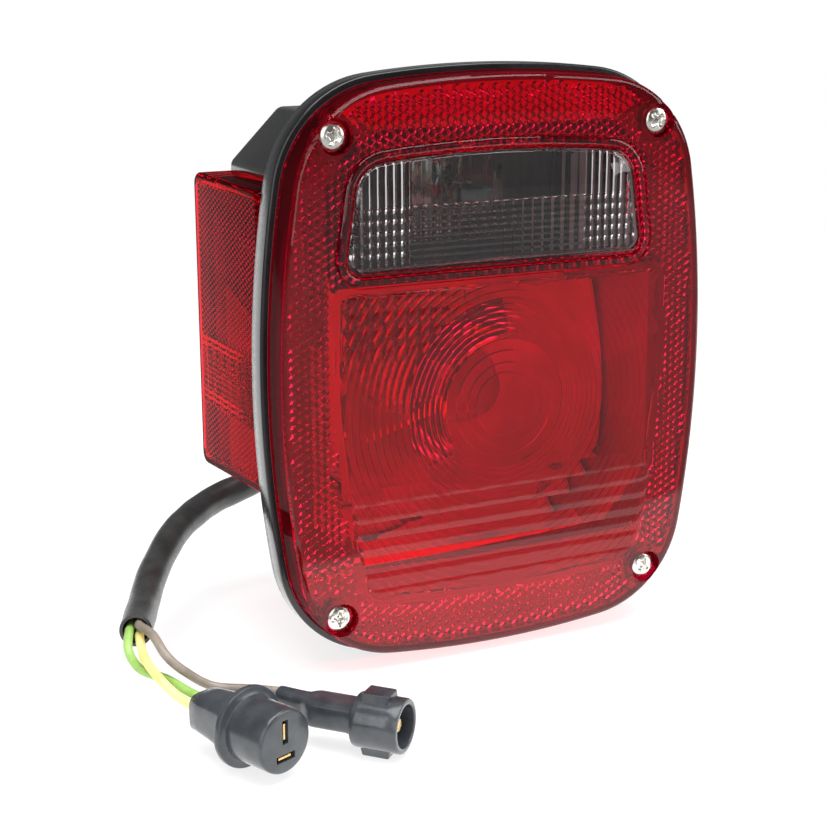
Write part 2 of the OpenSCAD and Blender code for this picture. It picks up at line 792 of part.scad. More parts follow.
module grey_wire() {
    wire("#857a72", concat(lead_in(backup_axis, 180), [[-38, -9, 20], [-48, -9, -20], [-48.5, -11, -46]]), 180,
         [[-129.4, -89, -73.6], [-128, -98, -77.6], [-123.4, -101.6, -82.4], [-115, -104.6, -88],
          [-104, -111, -88.6], [-96.5, -117.5, -88.4]]);
}

// ---- Plugs ----

module at_plug(place, turn) {
    translate(place) rotate([0, 0, turn]) children();
}

module disc_x(x0, x1, r) {
    translate([x0, 0, 0]) rotate([0, 90, 0]) cylinder(h = x1 - x0, r = r);
}

module block_x(x0, size) {
    translate([x0, -size[1] / 2, -size[2] / 2]) cube(size);
}

// Moulded grip, round flange and a round barrel with one upright and one flat slot
module two_pole_plug() {
    grip_back = [1, 13, 12.4];
    grip_front = [3, 17.2, 16];
    floor_x = plug_two_front - slot_deep;
    color("#232527") at_plug(plug_two_at, plug_two_turn) difference() {
        union() {
            hull() {
                block_x(plug_two_back, grip_back);
                block_x(-4, grip_front);
            }
            disc_x(-1.5, 0.9, plug_two_flange_r);
            disc_x(0, plug_two_front, plug_two_barrel_r);
        }
        translate([floor_x, -slot_thick / 2, upright_slot_z]) cube([slot_deep + cut, slot_thick, slot_wide]);
        translate([floor_x, -slot_wide / 2, flat_slot_z]) cube([slot_deep + cut, slot_wide, slot_thick]);
    }
}

module two_pole_plug_blades() {
    blade = 0.8;
    wide = 5.4;
    reach = 8;
    back = plug_two_front - slot_deep + eps;
    inset = (slot_wide - wide) / 2;
    color("#c9a04a") at_plug(plug_two_at, plug_two_turn) {
        translate([back, -blade / 2, upright_slot_z + inset]) cube([reach, blade, wide]);
        translate([back, -wide / 2, flat_slot_z + (slot_thick - blade) / 2]) cube([reach, wide, blade]);
    }
}

// Flat boot that swells into a block and ends in an open collar with a key above and below
module one_pole_plug() {
    collar_front = 9;
    collar_bore = 6.8;
    key = [9, 8, 20.8];
    color("#232527") at_plug(plug_one_at, plug_one_turn) difference() {
        union() {
            disc_x(-7, collar_front, plug_one_collar_r);
            block_x(-key[0] / 2, key);
            hull() {
                translate([-22, -6, -3.8]) cube([16, 12, 9.4]);
                translate([-25, -3.4, -1.6]) cube([1, 6.8, 6.8]);
            }
            hull() {
                translate([plug_one_back, -2.9, 1.2]) cube([1, 5.8, 5]);
                translate([-25, -3.4, -0.6]) cube([1, 6.8, 5.8]);
            }
        }
        disc_x(plug_one_floor, collar_front + cut, collar_bore);
    }
}

module one_pole_plug_pin() {
    color("#c9a04a") at_plug(plug_one_at, plug_one_turn) disc_x(plug_one_floor + eps, 6.5, 2.1);
}

housing();
side_marker_lens();
lens_gasket();
red_lens();
clear_window();
lens_screw_top_left();
lens_screw_top_right();
lens_screw_bottom_left();
lens_screw_bottom_right();
reflector_panel();
reflector_screws();
light_baffle();
socket_rivets();
stop_tail_socket();
stop_tail_spring();
stop_tail_contact_carrier();
stop_tail_contacts();
stop_tail_bulb_base();
stop_tail_bulb_pins();
stop_tail_bulb_insulator();
stop_tail_bulb_buttons();
stop_tail_bulb_glass();
stop_tail_bulb_stem();
stop_tail_filaments();
backup_socket();
backup_spring();
backup_contact_carrier();
backup_contact();
backup_bulb_base();
backup_bulb_pins();
backup_bulb_insulator();
backup_bulb_button();
backup_bulb_glass();
backup_bulb_stem();
backup_filament();
mounting_studs();
ground_strap();
cable_grommet();
cable_sleeve();
yellow_wire();
green_wire();
grey_wire();
two_pole_plug();
two_pole_plug_blades();
one_pole_plug();
one_pole_plug_pin();
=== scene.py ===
"""Finished look of the rear lamp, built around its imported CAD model."""

import json
import math

import bmesh
import bpy
import numpy as np
from mathutils import Matrix, Vector, geometry


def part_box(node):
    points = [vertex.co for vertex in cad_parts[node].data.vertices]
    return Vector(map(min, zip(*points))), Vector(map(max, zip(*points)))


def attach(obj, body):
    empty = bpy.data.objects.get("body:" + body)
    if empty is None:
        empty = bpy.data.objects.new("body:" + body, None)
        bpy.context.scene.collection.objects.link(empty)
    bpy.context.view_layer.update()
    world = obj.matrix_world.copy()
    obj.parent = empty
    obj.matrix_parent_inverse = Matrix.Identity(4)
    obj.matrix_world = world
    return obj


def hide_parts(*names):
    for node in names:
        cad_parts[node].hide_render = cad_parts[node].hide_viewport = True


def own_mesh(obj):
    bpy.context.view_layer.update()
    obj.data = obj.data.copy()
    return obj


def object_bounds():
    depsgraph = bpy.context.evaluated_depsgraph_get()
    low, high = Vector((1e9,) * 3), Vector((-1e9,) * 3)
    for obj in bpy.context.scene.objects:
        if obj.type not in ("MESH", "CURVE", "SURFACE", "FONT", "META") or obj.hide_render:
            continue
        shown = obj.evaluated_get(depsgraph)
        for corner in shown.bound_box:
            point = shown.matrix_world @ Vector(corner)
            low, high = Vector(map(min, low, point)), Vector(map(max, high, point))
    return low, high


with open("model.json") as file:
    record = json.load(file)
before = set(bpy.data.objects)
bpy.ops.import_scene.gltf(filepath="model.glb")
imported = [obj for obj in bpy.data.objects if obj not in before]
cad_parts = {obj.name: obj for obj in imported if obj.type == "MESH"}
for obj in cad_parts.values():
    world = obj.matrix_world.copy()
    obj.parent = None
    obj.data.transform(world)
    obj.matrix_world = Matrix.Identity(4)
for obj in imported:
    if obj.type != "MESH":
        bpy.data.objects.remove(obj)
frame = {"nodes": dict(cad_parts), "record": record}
cad_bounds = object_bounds()

MM = 0.001
GAP = 0.05  # between parts that only touch, in millimetres
SLOTS = {part["node"]: part["material_slot"] for part in frame["record"]["subparts"]}


def box_mm(node):
    low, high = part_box(node)
    return [c / MM for c in low], [c / MM for c in high]


# ---- Sizes, in millimetres; a depth is a distance forward of the mounting face, along -Y ----

lens_low, lens_high = box_mm("red_lens")
housing_low, housing_high = box_mm("housing")
marker_low, marker_high = box_mm("side_marker_lens")
_, panel_high = box_mm("reflector_panel")
gasket_low, gasket_high = box_mm("lens_gasket")
screw_low, screw_high = box_mm("lens_screw_top_right")
stop_low, stop_high = box_mm("stop_tail_socket")
backup_low, backup_high = box_mm("backup_socket")

FRAME_RISE = 1.0
FRAME_W = 4.0
LENS_SKIN = 3.0
LENS_WALL = 2.5
LENS_EDGE_R = 2.2
LENS_SIDE_R = 399.0
LENS_TOP_R = 377.0
LENS_CORNER_R = 39.0
LENS_HALF_W = lens_high[0]
LENS_HALF_H = lens_high[2]
LENS_FRONT = -lens_low[1] - FRAME_RISE
LENS_INNER = LENS_FRONT - LENS_SKIN
LENS_BACK = -lens_high[1]

FLANGE_LIP = housing_high[0] - LENS_HALF_W
FLANGE_FRONT = -housing_low[1]
FLANGE_RIM = 8.6
FLANGE_SKIN = 3.0

SCREW_X = (screw_low[0] + screw_high[0]) / 2
SCREW_Z = (screw_low[2] + screw_high[2]) / 2
SCREW_R = 2.4
SCREW_HEAD_R = (screw_high[0] - screw_low[0]) / 2
SCREW_HEAD_H = 2.6
SCREW_SEAT = -screw_low[1] - SCREW_HEAD_H
SCREW_HEAD_EXTRA = (0.8, 0.4)  # how much deeper and wider than the CAD head the finished one is
SCREW_TIP = -screw_high[1]
SCREWS = {
    "top_left": (-SCREW_X, SCREW_Z),
    "top_right": (SCREW_X, SCREW_Z),
    "bottom_left": (-SCREW_X, -SCREW_Z),
    "bottom_right": (SCREW_X, -SCREW_Z),
}
BULB_X = (stop_low[0] + stop_high[0]) / 2
STOP_Z = (stop_low[2] + stop_high[2]) / 2
BACKUP_Z = (backup_low[2] + backup_high[2]) / 2
BAFFLE_Z = 32.0  # above this height the panel and the inside of the box are black


# ---- Outlines: closed rings of [sideways, up] points that run anticlockwise ----


def arc(centre, radius, start, end, steps):
    """Points on an arc, from one angle in radians to another."""
    angles = np.linspace(start, end, steps + 1)
    return np.array(centre) + radius * np.stack([np.cos(angles), np.sin(angles)], axis=1)


def bowed_outline(half_w, half_h, side_r, top_r, corner_r):
    """A rectangle with bowed sides and rounded corners, all arcs tangent."""
    side_c = np.array([half_w - side_r, 0.0])
    top_c = np.array([0.0, half_h - top_r])
    ra = side_r - corner_r
    rb = top_r - corner_r
    apart = np.linalg.norm(top_c - side_c)
    u = (top_c - side_c) / apart
    along = (ra * ra - rb * rb + apart * apart) / (2 * apart)
    off = math.sqrt(ra * ra - along * along)
    corner_c = side_c + along * u + off * np.array([-u[1], u[0]])
    a = math.atan2(*(corner_c - side_c)[::-1])
    b = math.atan2(*(corner_c - top_c)[::-1])
    quarter = np.concatenate([
        arc(side_c, side_r, 0, a, 16)[:-1],
        arc(corner_c, corner_r, a, b, 18)[:-1],
        arc(top_c, top_r, b, math.pi / 2, 16),
    ])
    left = quarter[::-1][1:-1] * [-1, 1]
    half = np.concatenate([quarter, left])
    return np.concatenate([half, -half])


def rounded_outline(corners, steps=6):
    """A convex polygon whose corners, given as (x, z, radius), are rounded."""
    out = []
    count = len(corners)
    for i, (x, z, radius) in enumerate(corners):
        here = np.array([x, z])
        u = np.array(corners[i - 1][:2]) - here
        v = np.array(corners[(i + 1) % count][:2]) - here
        u = u / np.linalg.norm(u)
        v = v / np.linalg.norm(v)
        half = math.acos(np.clip(u @ v, -1, 1)) / 2
        mid = (u + v) / np.linalg.norm(u + v)
        centre = here + mid * radius / math.sin(half)
        a = math.atan2(*(here - centre)[::-1])
        spread = math.pi / 2 - half
        out.append(arc(centre, radius, a - spread, a + spread, steps))
    return np.concatenate(out)


def circle(centre, radius, steps=48):
    return arc(centre, radius, 0, 2 * math.pi, steps)[:-1]


def grown(outline, distance):
    """The outline moved outwards along its own normals."""
    edge = np.roll(outline, -1, axis=0) - outline
    edge = edge / np.linalg.norm(edge, axis=1)[:, None]
    normal = np.stack([edge[:, 1], -edge[:, 0]], axis=1)
    normal = normal + np.roll(normal, 1, axis=0)
    normal = normal / np.linalg.norm(normal, axis=1)[:, None]
    return outline + normal * distance


def inside(points, outline):
    """Which of the points lie inside a closed outline."""
    x, z = points[:, 0], points[:, 1]
    result = np.zeros(len(points), bool)
    for (x0, z0), (x1, z1) in zip(outline, np.roll(outline, -1, axis=0)):
        if z0 == z1:
            continue
        crosses = (z0 > z) != (z1 > z)
        result ^= crosses & (x < x0 + (z - z0) * (x1 - x0) / (z1 - z0))
    return result


def lens_outline(grow):
    sizes = (LENS_HALF_W, LENS_HALF_H, LENS_SIDE_R, LENS_TOP_R, LENS_CORNER_R)
    return bowed_outline(*[size + grow for size in sizes])


def window_outline(grow):
    """The window's outline: a straight sill, sloping sides and a bowed top."""
    centre, sill_w, top_w, sill, shoulder, bow = -1.8, 56.7, 51.6, 37.0, 72.0, 3.1
    low_r, high_r = 5.0, 11.0
    top_r = (top_w * top_w + bow * bow) / (2 * bow)
    sweep = math.asin(top_w / top_r)
    top = arc((centre, shoulder + bow - top_r), top_r, math.pi / 2 - sweep, math.pi / 2 + sweep, 6)
    corners = [(centre - sill_w, sill, low_r), (centre + sill_w, sill, low_r), (*top[0], high_r)]
    corners += [(*p, 60.0) for p in top[1:-1]]
    corners += [(*top[-1], high_r)]
    return grown(rounded_outline(corners), grow)


# ---- Shells: closed meshes made of flat or relief plates and the bands between them ----


def place_depth(p):
    return (p[0] * MM, -p[1] * MM, p[2] * MM)


def level(outline, depth):
    """An outline laid at one depth, or at one depth for each point."""
    depths = np.broadcast_to(depth, len(outline))
    return [(p[0], d, p[1]) for p, d in zip(outline, depths)]


def turned(centre, profile, steps=48):
    """Circles about one centre, from a profile of (radius, depth) points."""
    return [level(circle(centre, radius, steps), depth) for radius, depth in profile]


def closed(loop):
    """The list with its first item again at its end."""
    return loop + loop[:1]


class Shell:
    """The faces of one closed piece. Points are (sideways, depth, up), and equal points are joined."""

    def __init__(self):
        self.points = []
        self.index = {}
        self.faces = []

    def point(self, p):
        key = (round(float(p[0]), 3), round(float(p[1]), 3), round(float(p[2]), 3))
        if key not in self.index:
            self.index[key] = len(self.points)
            self.points.append(key)
        return self.index[key]

    def face(self, corners):
        ids = list(dict.fromkeys(self.point(p) for p in corners))
        if len(ids) > 2:
            self.faces.append(ids)

    def band(self, a, b, skip=()):
        """Joins two closed loops that have the same number of points."""
        count = len(a)
        for i in range(count):
            if i not in skip:
                j = (i + 1) % count
                self.face([a[i], a[j], b[j], b[i]])

    def bands(self, loops):
        for a, b in zip(loops, loops[1:]):
            self.band(a, b)

    def solid(self, loops):
        """Bands from the first loop to the last, and a flat face on each end."""
        self.bands(loops)
        self.face(loops[0])
        self.face(loops[-1])

    def plate(self, loops, chains=(), points=()):
        """Fills the area inside the first loop and outside the others with triangles.
        The triangles' edges follow the chains, and their corners include the points."""
        coords = []
        edges = []
        for group, closed in [(g, True) for g in loops] + [(g, False) for g in chains]:
            first = len(coords)
            coords += [tuple(p) for p in group]
            last = len(group) if closed else len(group) - 1
            edges += [(first + i, first + (i + 1) % len(group)) for i in range(last)]
        coords += [tuple(p) for p in points]
        flat = [Vector((p[0], p[2])) for p in coords]
        verts, _, faces, origin, _, _ = geometry.delaunay_2d_cdt(flat, edges, [], 0, 1e-5)
        corners = [coords[o[0]] if o else (v[0], loops[0][0][1], v[1]) for v, o in zip(verts, origin)]
        xz = np.array([(c[0], c[2]) for c in corners])
        centres = np.array([xz[list(f)].mean(axis=0) for f in faces])
        keep = inside(centres, np.array([(p[0], p[2]) for p in loops[0]]))
        for hole in loops[1:]:
            keep &= ~inside(centres, np.array([(p[0], p[2]) for p in hole]))
        for f, kept in zip(faces, keep):
            if kept:
                self.face([corners[i] for i in f])

    def to_object(self, name, material, place=place_depth, smooth_angle=30):
        mesh = bpy.data.meshes.new(name)
        mesh.from_pydata([place(p) for p in self.points], [], self.faces)
        bm = bmesh.new()
        bm.from_mesh(mesh)
        bmesh.ops.recalc_face_normals(bm, faces=bm.faces)
        sharp = math.radians(smooth_angle)
        for face in bm.faces:
            face.smooth = True
        for edge in bm.edges:
            edge.smooth = len(edge.link_faces) == 2 and edge.calc_face_angle(0) < sharp
        bm.to_mesh(mesh)
        bm.free()
        mesh.materials.append(material)
        piece = bpy.data.objects.new(name, mesh)
        bpy.context.scene.collection.objects.link(piece)
        return piece

    def to_piece(self, name, body, node, material=None, **settings):
        piece = self.to_object(name, material or MATERIALS[SLOTS[node]], **settings)
        adopt(piece, body, node)
        return piece


def adopt(piece, body, node):
    """The piece rides on a body, and takes the place of a CAD node, which is hidden."""
    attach(piece, body)
    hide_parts(node)


def runs(points, keep):
    """The unbroken runs of kept points in a closed ring, as separate chains."""
    if keep.all():
        return [list(points) + [points[0]]]
    count = len(points)
    first = next(i for i in range(count) if not keep[i])
    chains = [[]]
    for i in range(first, first + count):
        if keep[i % count]:
            chains[-1].append(points[i % count])
        elif chains[-1]:
            chains.append([])
    return [c for c in chains if len(c) > 1]


def far_from(points, centres, distance):
    keep = np.ones(len(points), bool)
    for c in centres:
        keep &= np.linalg.norm(points - np.array(c), axis=1) > distance
    return keep


# ---- Optics ----


PRISM_HEIGHT = 0.5  # of a true cube corner's height


def cube_corners(room, keep, base, pitch, low, high, share=PRISM_HEIGHT):
    """Reflex prisms: an array of cube corners that stand inwards from a base depth.
    Points in the room that are not to be kept stay flat, so that the array has a clean edge."""
    spacing = pitch / math.sqrt(3)
    upward = spacing * math.sqrt(3) / 2
    step = spacing / math.sqrt(2) * share
    rows = int((high[1] - low[1]) / upward) + 1
    cols = int((high[0] - low[0]) / spacing) + 1
    found = []
    for j in range(rows):
        for i in range(-j // 2 - 1, cols - j // 2 + 1):
            found.append((low[0] + spacing * i + spacing / 2 * j, low[1] + upward * j, (i - j) % 3))
    found = np.array(found)
    found = found[room(found[:, :2])]
    raised = keep(found[:, :2]) * found[:, 2]
    return [(x, base - kind * step, z) for (x, z, _), kind in zip(found, raised)]


def ring_lens(centre, radii, base, rise, keep):
    """Fresnel rings round a flat middle: each is thickest at its inner edge and falls to the base."""
    riser = 0.12
    chord = 1.6
    chains = []
    for k, radius in enumerate(radii):
        steps = max(24, int(2 * math.pi * radius / chord))
        inner_depth = base if k else base - rise[0]
        for r, depth in ((radius, inner_depth), (radius + riser, base - rise[k])):
            ring = circle(centre, r, steps)
            chains += runs(level(ring, depth), keep(ring))
    return chains, [(centre[0], base - rise[0], centre[1])]


# ---- Materials ----


def add_node(owner, kind, inputs=None, **settings):
    """Adds a shader node. An input is either a value or another node's output."""
    node = owner.node_tree.nodes.new("ShaderNode" + kind)
    for key, value in settings.items():
        setattr(node, key, value)
    for key, value in (inputs or {}).items():
        if isinstance(value, bpy.types.NodeSocket):
            owner.node_tree.links.new(value, node.inputs[key])
        else:
            node.inputs[key].default_value = value
    return node


def add(owner, kind, inputs=None, output=0, **settings):
    """Adds a shader node and returns one of its outputs."""
    return add_node(owner, kind, inputs, **settings).outputs[output]


def blank(blocks, name):
    block = blocks.new(name)
    block.use_nodes = True
    block.node_tree.nodes.clear()
    return block


def calc(owner, operation, *values):
    return add(owner, "Math", dict(enumerate(values)), operation=operation)


def span(owner, value, start, end, low=0.0, high=1.0):
    """Runs from low to high as the value goes from start to end."""
    return add(owner, "MapRange", {
        "Value": value, "From Min": start, "From Max": end, "To Min": low, "To Max": high,
    })


def mix_colours(owner, share, a, b):
    return add(owner, "Mix", {0: share, 6: a, 7: b}, 2, data_type="RGBA")


def mix_values(owner, share, a, b):
    return add(owner, "Mix", {0: share, 2: a, 3: b})


def mix_shaders(owner, share, a, b):
    return add(owner, "MixShader", {0: share, 1: a, 2: b})


def noise(owner, place, scale, detail):
    return add(owner, "TexNoise", {"Vector": place, "Scale": scale, "Detail": detail}, "Fac")


def ramp(owner, factor, low, high, start=0.35, end=0.65):
    """Runs from one colour to another as the factor goes from start to end."""
    node = add_node(owner, "ValToRGB", {"Fac": factor})
    for element, place, colour in zip(node.color_ramp.elements, (start, end), (low, high)):
        element.position = place
        element.color = colour
    return node.outputs["Color"]


def grey(value):
    return (value, value, value, 1)


def surface(name, dark, light, rough, metallic=0.0, size=60, grain=900, bump=0.05, edge=0.3,
            black_above=None, painted_light_faces=None):
    """A moulded, rubber or metal surface: mottled colour and gloss, a fine grain, and softened edges.
    It may be black above a height, and may carry painted light, a silver lining, on the faces that an
    attribute marks."""
    m = blank(bpy.data.materials, name)
    place = add(m, "TexCoord", output="Object")
    fine = noise(m, place, grain, 3)
    colour = ramp(m, noise(m, place, size, 4), (*dark, 1), (*light, 1))
    gloss = ramp(m, fine, grey(rough[0]), grey(rough[1]))
    if black_above is not None:
        z = add(m, "SeparateXYZ", {"Vector": place}, "Z")
        painted = calc(m, "GREATER_THAN", z, black_above * MM)
        colour = mix_colours(m, painted, colour, (0.008, 0.008, 0.009, 1))
        metallic = span(m, painted, 0, 1, metallic, 0.0)
    # Painted light: the marked faces are mixed towards silver so that the lamp's inside looks lit.
    if painted_light_faces is not None:
        painted_light_share = add(m, "Attribute", output="Fac", attribute_name=painted_light_faces)
        colour = mix_colours(m, painted_light_share, colour, grey(0.52))
    soft = add(m, "Bevel", {"Radius": edge * MM}, samples=4)
    normal = add(m, "Bump", {"Height": fine, "Strength": bump, "Distance": 0.0002, "Normal": soft})
    shader = add(m, "BsdfPrincipled", {
        "Base Color": colour, "Roughness": gloss, "Metallic": metallic, "Normal": normal,
    })
    add_node(m, "OutputMaterial", {"Surface": shader})
    return m


def glassy(name, colour, through, ior=1.49, haze=(0.0, 0.03), shine=1.0, side_shine=1.0,
           painted_edge_shade=1.0, milk=0.0):
    """Clear or tinted plastic or glass. Shadow and diffuse rays pass straight through with the same tint.
    Shine scales the outer surface's reflection, and side shine scales it further where the surface turns
    away from the front; total reflection inside is kept whole. Edge shade is painted shade that darkens the
    plastic where it turns sideways and is seen edge on. Milk is the share of the light that the plastic
    itself scatters."""
    m = blank(bpy.data.materials, name)
    patch = noise(m, add(m, "TexCoord", output="Object"), 45, 3)
    gloss = ramp(m, patch, grey(haze[0]), grey(haze[1]), 0.45, 0.75)
    tint = ramp(m, patch, (*[c * 0.94 for c in colour], 1), (*colour, 1))
    shape = add_node(m, "NewGeometry").outputs
    facing = calc(m, "ABSOLUTE", add(m, "SeparateXYZ", {"Vector": shape["Normal"]}, "Y"))
    # Painted shade: the tint is darker where the surface turns sideways from the front.
    if painted_edge_shade < 1:
        turned = span(m, facing, 0.35, 0.1)
        tint = mix_colours(m, turned, tint, (*[c * painted_edge_shade for c in colour], 1))
    bend = add(m, "BsdfRefraction", {"Color": tint, "Roughness": gloss, "IOR": ior})
    mirror = add(m, "BsdfGlossy", {"Color": (1, 1, 1, 1), "Roughness": gloss})
    outside = span(m, facing, 0.3, 0.9, shine * side_shine, shine)
    scale = span(m, shape["Backfacing"], 0, 1, outside, 1.0)
    share = calc(m, "MULTIPLY", add(m, "Fresnel", {"IOR": ior}), scale)
    glass = mix_shaders(m, share, bend, mirror)
    if milk:
        front = add(m, "BsdfDiffuse", {"Color": (*through, 1)})
        behind = add(m, "BsdfTranslucent", {"Color": (*through, 1)})
        glass = mix_shaders(m, milk, glass, mix_shaders(m, 0.6, front, behind))
    straight = add(m, "BsdfTransparent", {"Color": (*through, 1)})
    path = add_node(m, "LightPath").outputs
    either = calc(m, "MAXIMUM", path["Is Shadow Ray"], path["Is Diffuse Ray"])
    add_node(m, "OutputMaterial", {"Surface": mix_shaders(m, either, glass, straight)})
    return m


MARKER_RED = glassy("red_marker_plastic", (0.82, 0.04, 0.13), (0.98, 0.1, 0.2), shine=0.1, milk=0.004)
MATERIALS = {  # by the name of the slot
    # The red lens carries painted shade on its sideways faces.
    "red_plastic": glassy("red_lens_plastic", (1.0, 0.07, 0.24), (0.98, 0.1, 0.2), shine=0.75,
                          side_shine=0.12, painted_edge_shade=0.45, milk=0.018),
    "clear_plastic": glassy("clear_window_plastic", (0.97, 0.98, 0.98), (0.96, 0.97, 0.97)),
    "bulb_glass": glassy("bulb_clear_glass", (0.97, 0.98, 0.98), (0.97, 0.97, 0.97), 1.45, (0.0, 0.0)),
    # The black plastic carries painted light: silver on the faces marked inside the lamp.
    "black_plastic": surface("black_moulded_plastic", (0.004, 0.0045, 0.005), (0.009, 0.010, 0.011),
                             (0.14, 0.24), bump=0.03, painted_light_faces="painted_light_inside"),
    "black_rubber": surface("black_soft_rubber", (0.012, 0.012, 0.013), (0.026, 0.027, 0.029),
                            (0.42, 0.6), bump=0.15),
    "plug_rubber": surface("plug_black_rubber", (0.027, 0.031, 0.036), (0.048, 0.053, 0.060),
                           (0.15, 0.26), size=120, bump=0.06),
    "sleeve_plastic": surface("sleeve_grey_vinyl", (0.022, 0.023, 0.023), (0.040, 0.042, 0.041),
                              (0.34, 0.46), size=150, bump=0.1),
    "plated_steel": surface("zinc_plated_steel", (0.52, 0.53, 0.53), (0.68, 0.68, 0.66),
                            (0.18, 0.32), 1.0, size=220, bump=0.08),
    "screw_steel": surface("bright_screw_steel", (0.60, 0.58, 0.52), (0.78, 0.77, 0.73),
                           (0.14, 0.28), 1.0, size=300, bump=0.1),
    "bright_metal": surface("pressed_aluminium", (0.72, 0.72, 0.73), (0.86, 0.86, 0.87),
                            (0.34, 0.48), 0.6, size=90, black_above=BAFFLE_Z),
    "aluminium_rivet": surface("aluminium_rivets", (0.58, 0.58, 0.59), (0.74, 0.74, 0.75),
                               (0.28, 0.42), 1.0, size=300),
    "spring_steel": surface("spring_steel_wire", (0.36, 0.36, 0.37), (0.52, 0.52, 0.53),
                            (0.22, 0.36), 1.0, size=300),
    "brass": surface("rolled_brass", (0.62, 0.42, 0.16), (0.80, 0.58, 0.26), (0.2, 0.36), 1.0,
                     size=200, bump=0.08),
    "solder": surface("dull_solder", (0.42, 0.43, 0.44), (0.58, 0.58, 0.58), (0.34, 0.5), 1.0,
                      size=400, bump=0.2),
    "brown_board": surface("brown_pressed_board", (0.10, 0.045, 0.018), (0.17, 0.08, 0.032),
                           (0.5, 0.7), size=250, bump=0.2),
    "black_glass": surface("black_vitrite", (0.012, 0.009, 0.012), (0.03, 0.02, 0.028),
                           (0.08, 0.16), size=300),
    "tungsten": surface("tungsten_wire", (0.30, 0.30, 0.31), (0.44, 0.44, 0.45), (0.3, 0.45), 1.0,
                        size=600),
}
for wire_colour, wire_dark, wire_light, wire_gloss in (
    ("yellow", (0.72, 0.56, 0.16), (0.82, 0.68, 0.28), (0.3, 0.42)),
    ("green", (0.20, 0.36, 0.07), (0.30, 0.50, 0.13), (0.3, 0.42)),
    ("grey", (0.17, 0.14, 0.11), (0.26, 0.22, 0.185), (0.32, 0.45)),
):
    slot = wire_colour + "_insulation"
    MATERIALS[slot] = surface(slot, wire_dark, wire_light, wire_gloss, size=150, bump=0.08)


def dress_cad_nodes():
    """Gives every CAD node the node material of its slot in the record."""
    for node, slot in SLOTS.items():
        materials = frame["nodes"][node].data.materials
        materials.clear()
        materials.append(MATERIALS[slot])


# ---- Red lens ----

PRISM_PITCH = 2.85
POCKET_R = 5.9
POST_R = 3.4
HOLE_R = 2.55
CUP_R = 7.2
CUP_DEPTH = SCREW_SEAT - 2
OPTIC_HALF_W = 63.4
OPTIC_TOP = 30.6
OPTIC_BOTTOM = -78.8
SKIRT_DRAFT = 0.7
PILLOW_W = 13.0
PILLOW_H = 6.05
EDGE_INSETS = (0.1, 0.3, 0.65, 1.1, 1.65, LENS_EDGE_R)
FRAME_PROFILE = [  # (distance out from the window, height above the lens's front), from the outside in
    (4.75, -0.6), (4.15, -0.6), (4.0, -0.2), (3.9, 0.5), (3.6, 0.85), (3.1, 1.0), (1.9, 1.0),
    (1.5, 0.8), (1.25, 0.2), (0.95, -0.3), (0.6, -0.3), (0.45, 0.1), (0.2, 0.15), (0, -0.1),
]


def optic_outline():
    """The lens's main optic: straight on top, bowed at the sides, rounded below."""
    x = BULB_X
    left = [
        (x - OPTIC_HALF_W + 1.0, OPTIC_TOP, 3.0),
        (x - OPTIC_HALF_W, -4.0, 180.0),
        (x - OPTIC_HALF_W + 4.8, -52.0, 120.0),
        (x - OPTIC_HALF_W + 10.5, OPTIC_BOTTOM + 1.0, 8.0),
    ]
    right = [(2 * x - px, pz, r) for px, pz, r in reversed(left)]
    return rounded_outline(left + [(x, OPTIC_BOTTOM - 1.2, 200.0)] + right)


def front_outline(grow):
    """The front of the lens's skirt, drawn in all round from its root."""
    return lens_outline(grow - SKIRT_DRAFT)


def edge_drop(inset):
    """How far the lens's rounded edge has fallen at a distance in from its outline."""
    t = np.clip(1 - np.asarray(inset) / LENS_EDGE_R, 0, 1)
    return LENS_EDGE_R * (1 - np.sqrt(1 - t * t))


def inset_of(points, outline):
    """Distance from each point to an outline."""
    best = np.full(len(points), np.inf)
    for a, b in zip(outline, np.roll(outline, -1, axis=0)):
        ab = b - a
        t = np.clip(((points - a) @ ab) / (ab @ ab), 0, 1)
        best = np.minimum(best, np.linalg.norm(points - (a + t[:, None] * ab), axis=1))
    return best


def pillow(x, z):
    """Height of the outer face's cushions: wide rows low down, and small faint ones at the upper left."""
    low_height, low_top, high_height = 0.19, -33.0, 0.2
    v = ((z - OPTIC_BOTTOM) / PILLOW_H) % 1 * 2 - 1
    wide = ((x - BULB_X) / PILLOW_W) % 1 * 2 - 1
    small = ((x - BULB_X) / PILLOW_W * 3) % 1 * 2 - 1
    low = low_height * np.clip((low_top - z) / 3.0, 0, 1) * (1 - 0.25 * wide * wide)
    high = high_height * np.clip(z / 8.0, 0, 1) * np.clip((-x - 4.0) / 10.0, 0, 1) * (1 - small * small)
    return (low + high) * (1 - v * v)


def lens_front_face(shell, outer):
    rims = [circle(c, POCKET_R) for c in SCREWS.values()]
    rim_loops = [level(r, LENS_FRONT - edge_drop(inset_of(r, outer))) for r in rims]
    frame_loop = level(window_outline(FRAME_W + 1.0), LENS_FRONT)
    chains = []
    for inset in EDGE_INSETS:
        ring = front_outline(-inset)
        keep = far_from(ring, SCREWS.values(), POCKET_R + 0.4)
        chains += runs(level(ring, LENS_FRONT - float(edge_drop(inset))), keep)
    columns = BULB_X + np.arange(-60, 61) * PILLOW_W / 12
    rows = OPTIC_BOTTOM + np.arange(-2, 110) * PILLOW_H / 6
    spots = np.array([(x, z) for x in columns for z in rows])
    spots = spots[inside(spots, grown(optic_outline(), -0.6))]
    heights = LENS_FRONT + pillow(spots[:, 0], spots[:, 1])
    points = [(x, h, z) for (x, z), h in zip(spots, heights)]
    chains.append(closed(level(optic_outline(), LENS_FRONT)))
    shell.plate([level(outer, LENS_FRONT - LENS_EDGE_R), frame_loop] + rim_loops, chains, points)
    return frame_loop, rim_loops


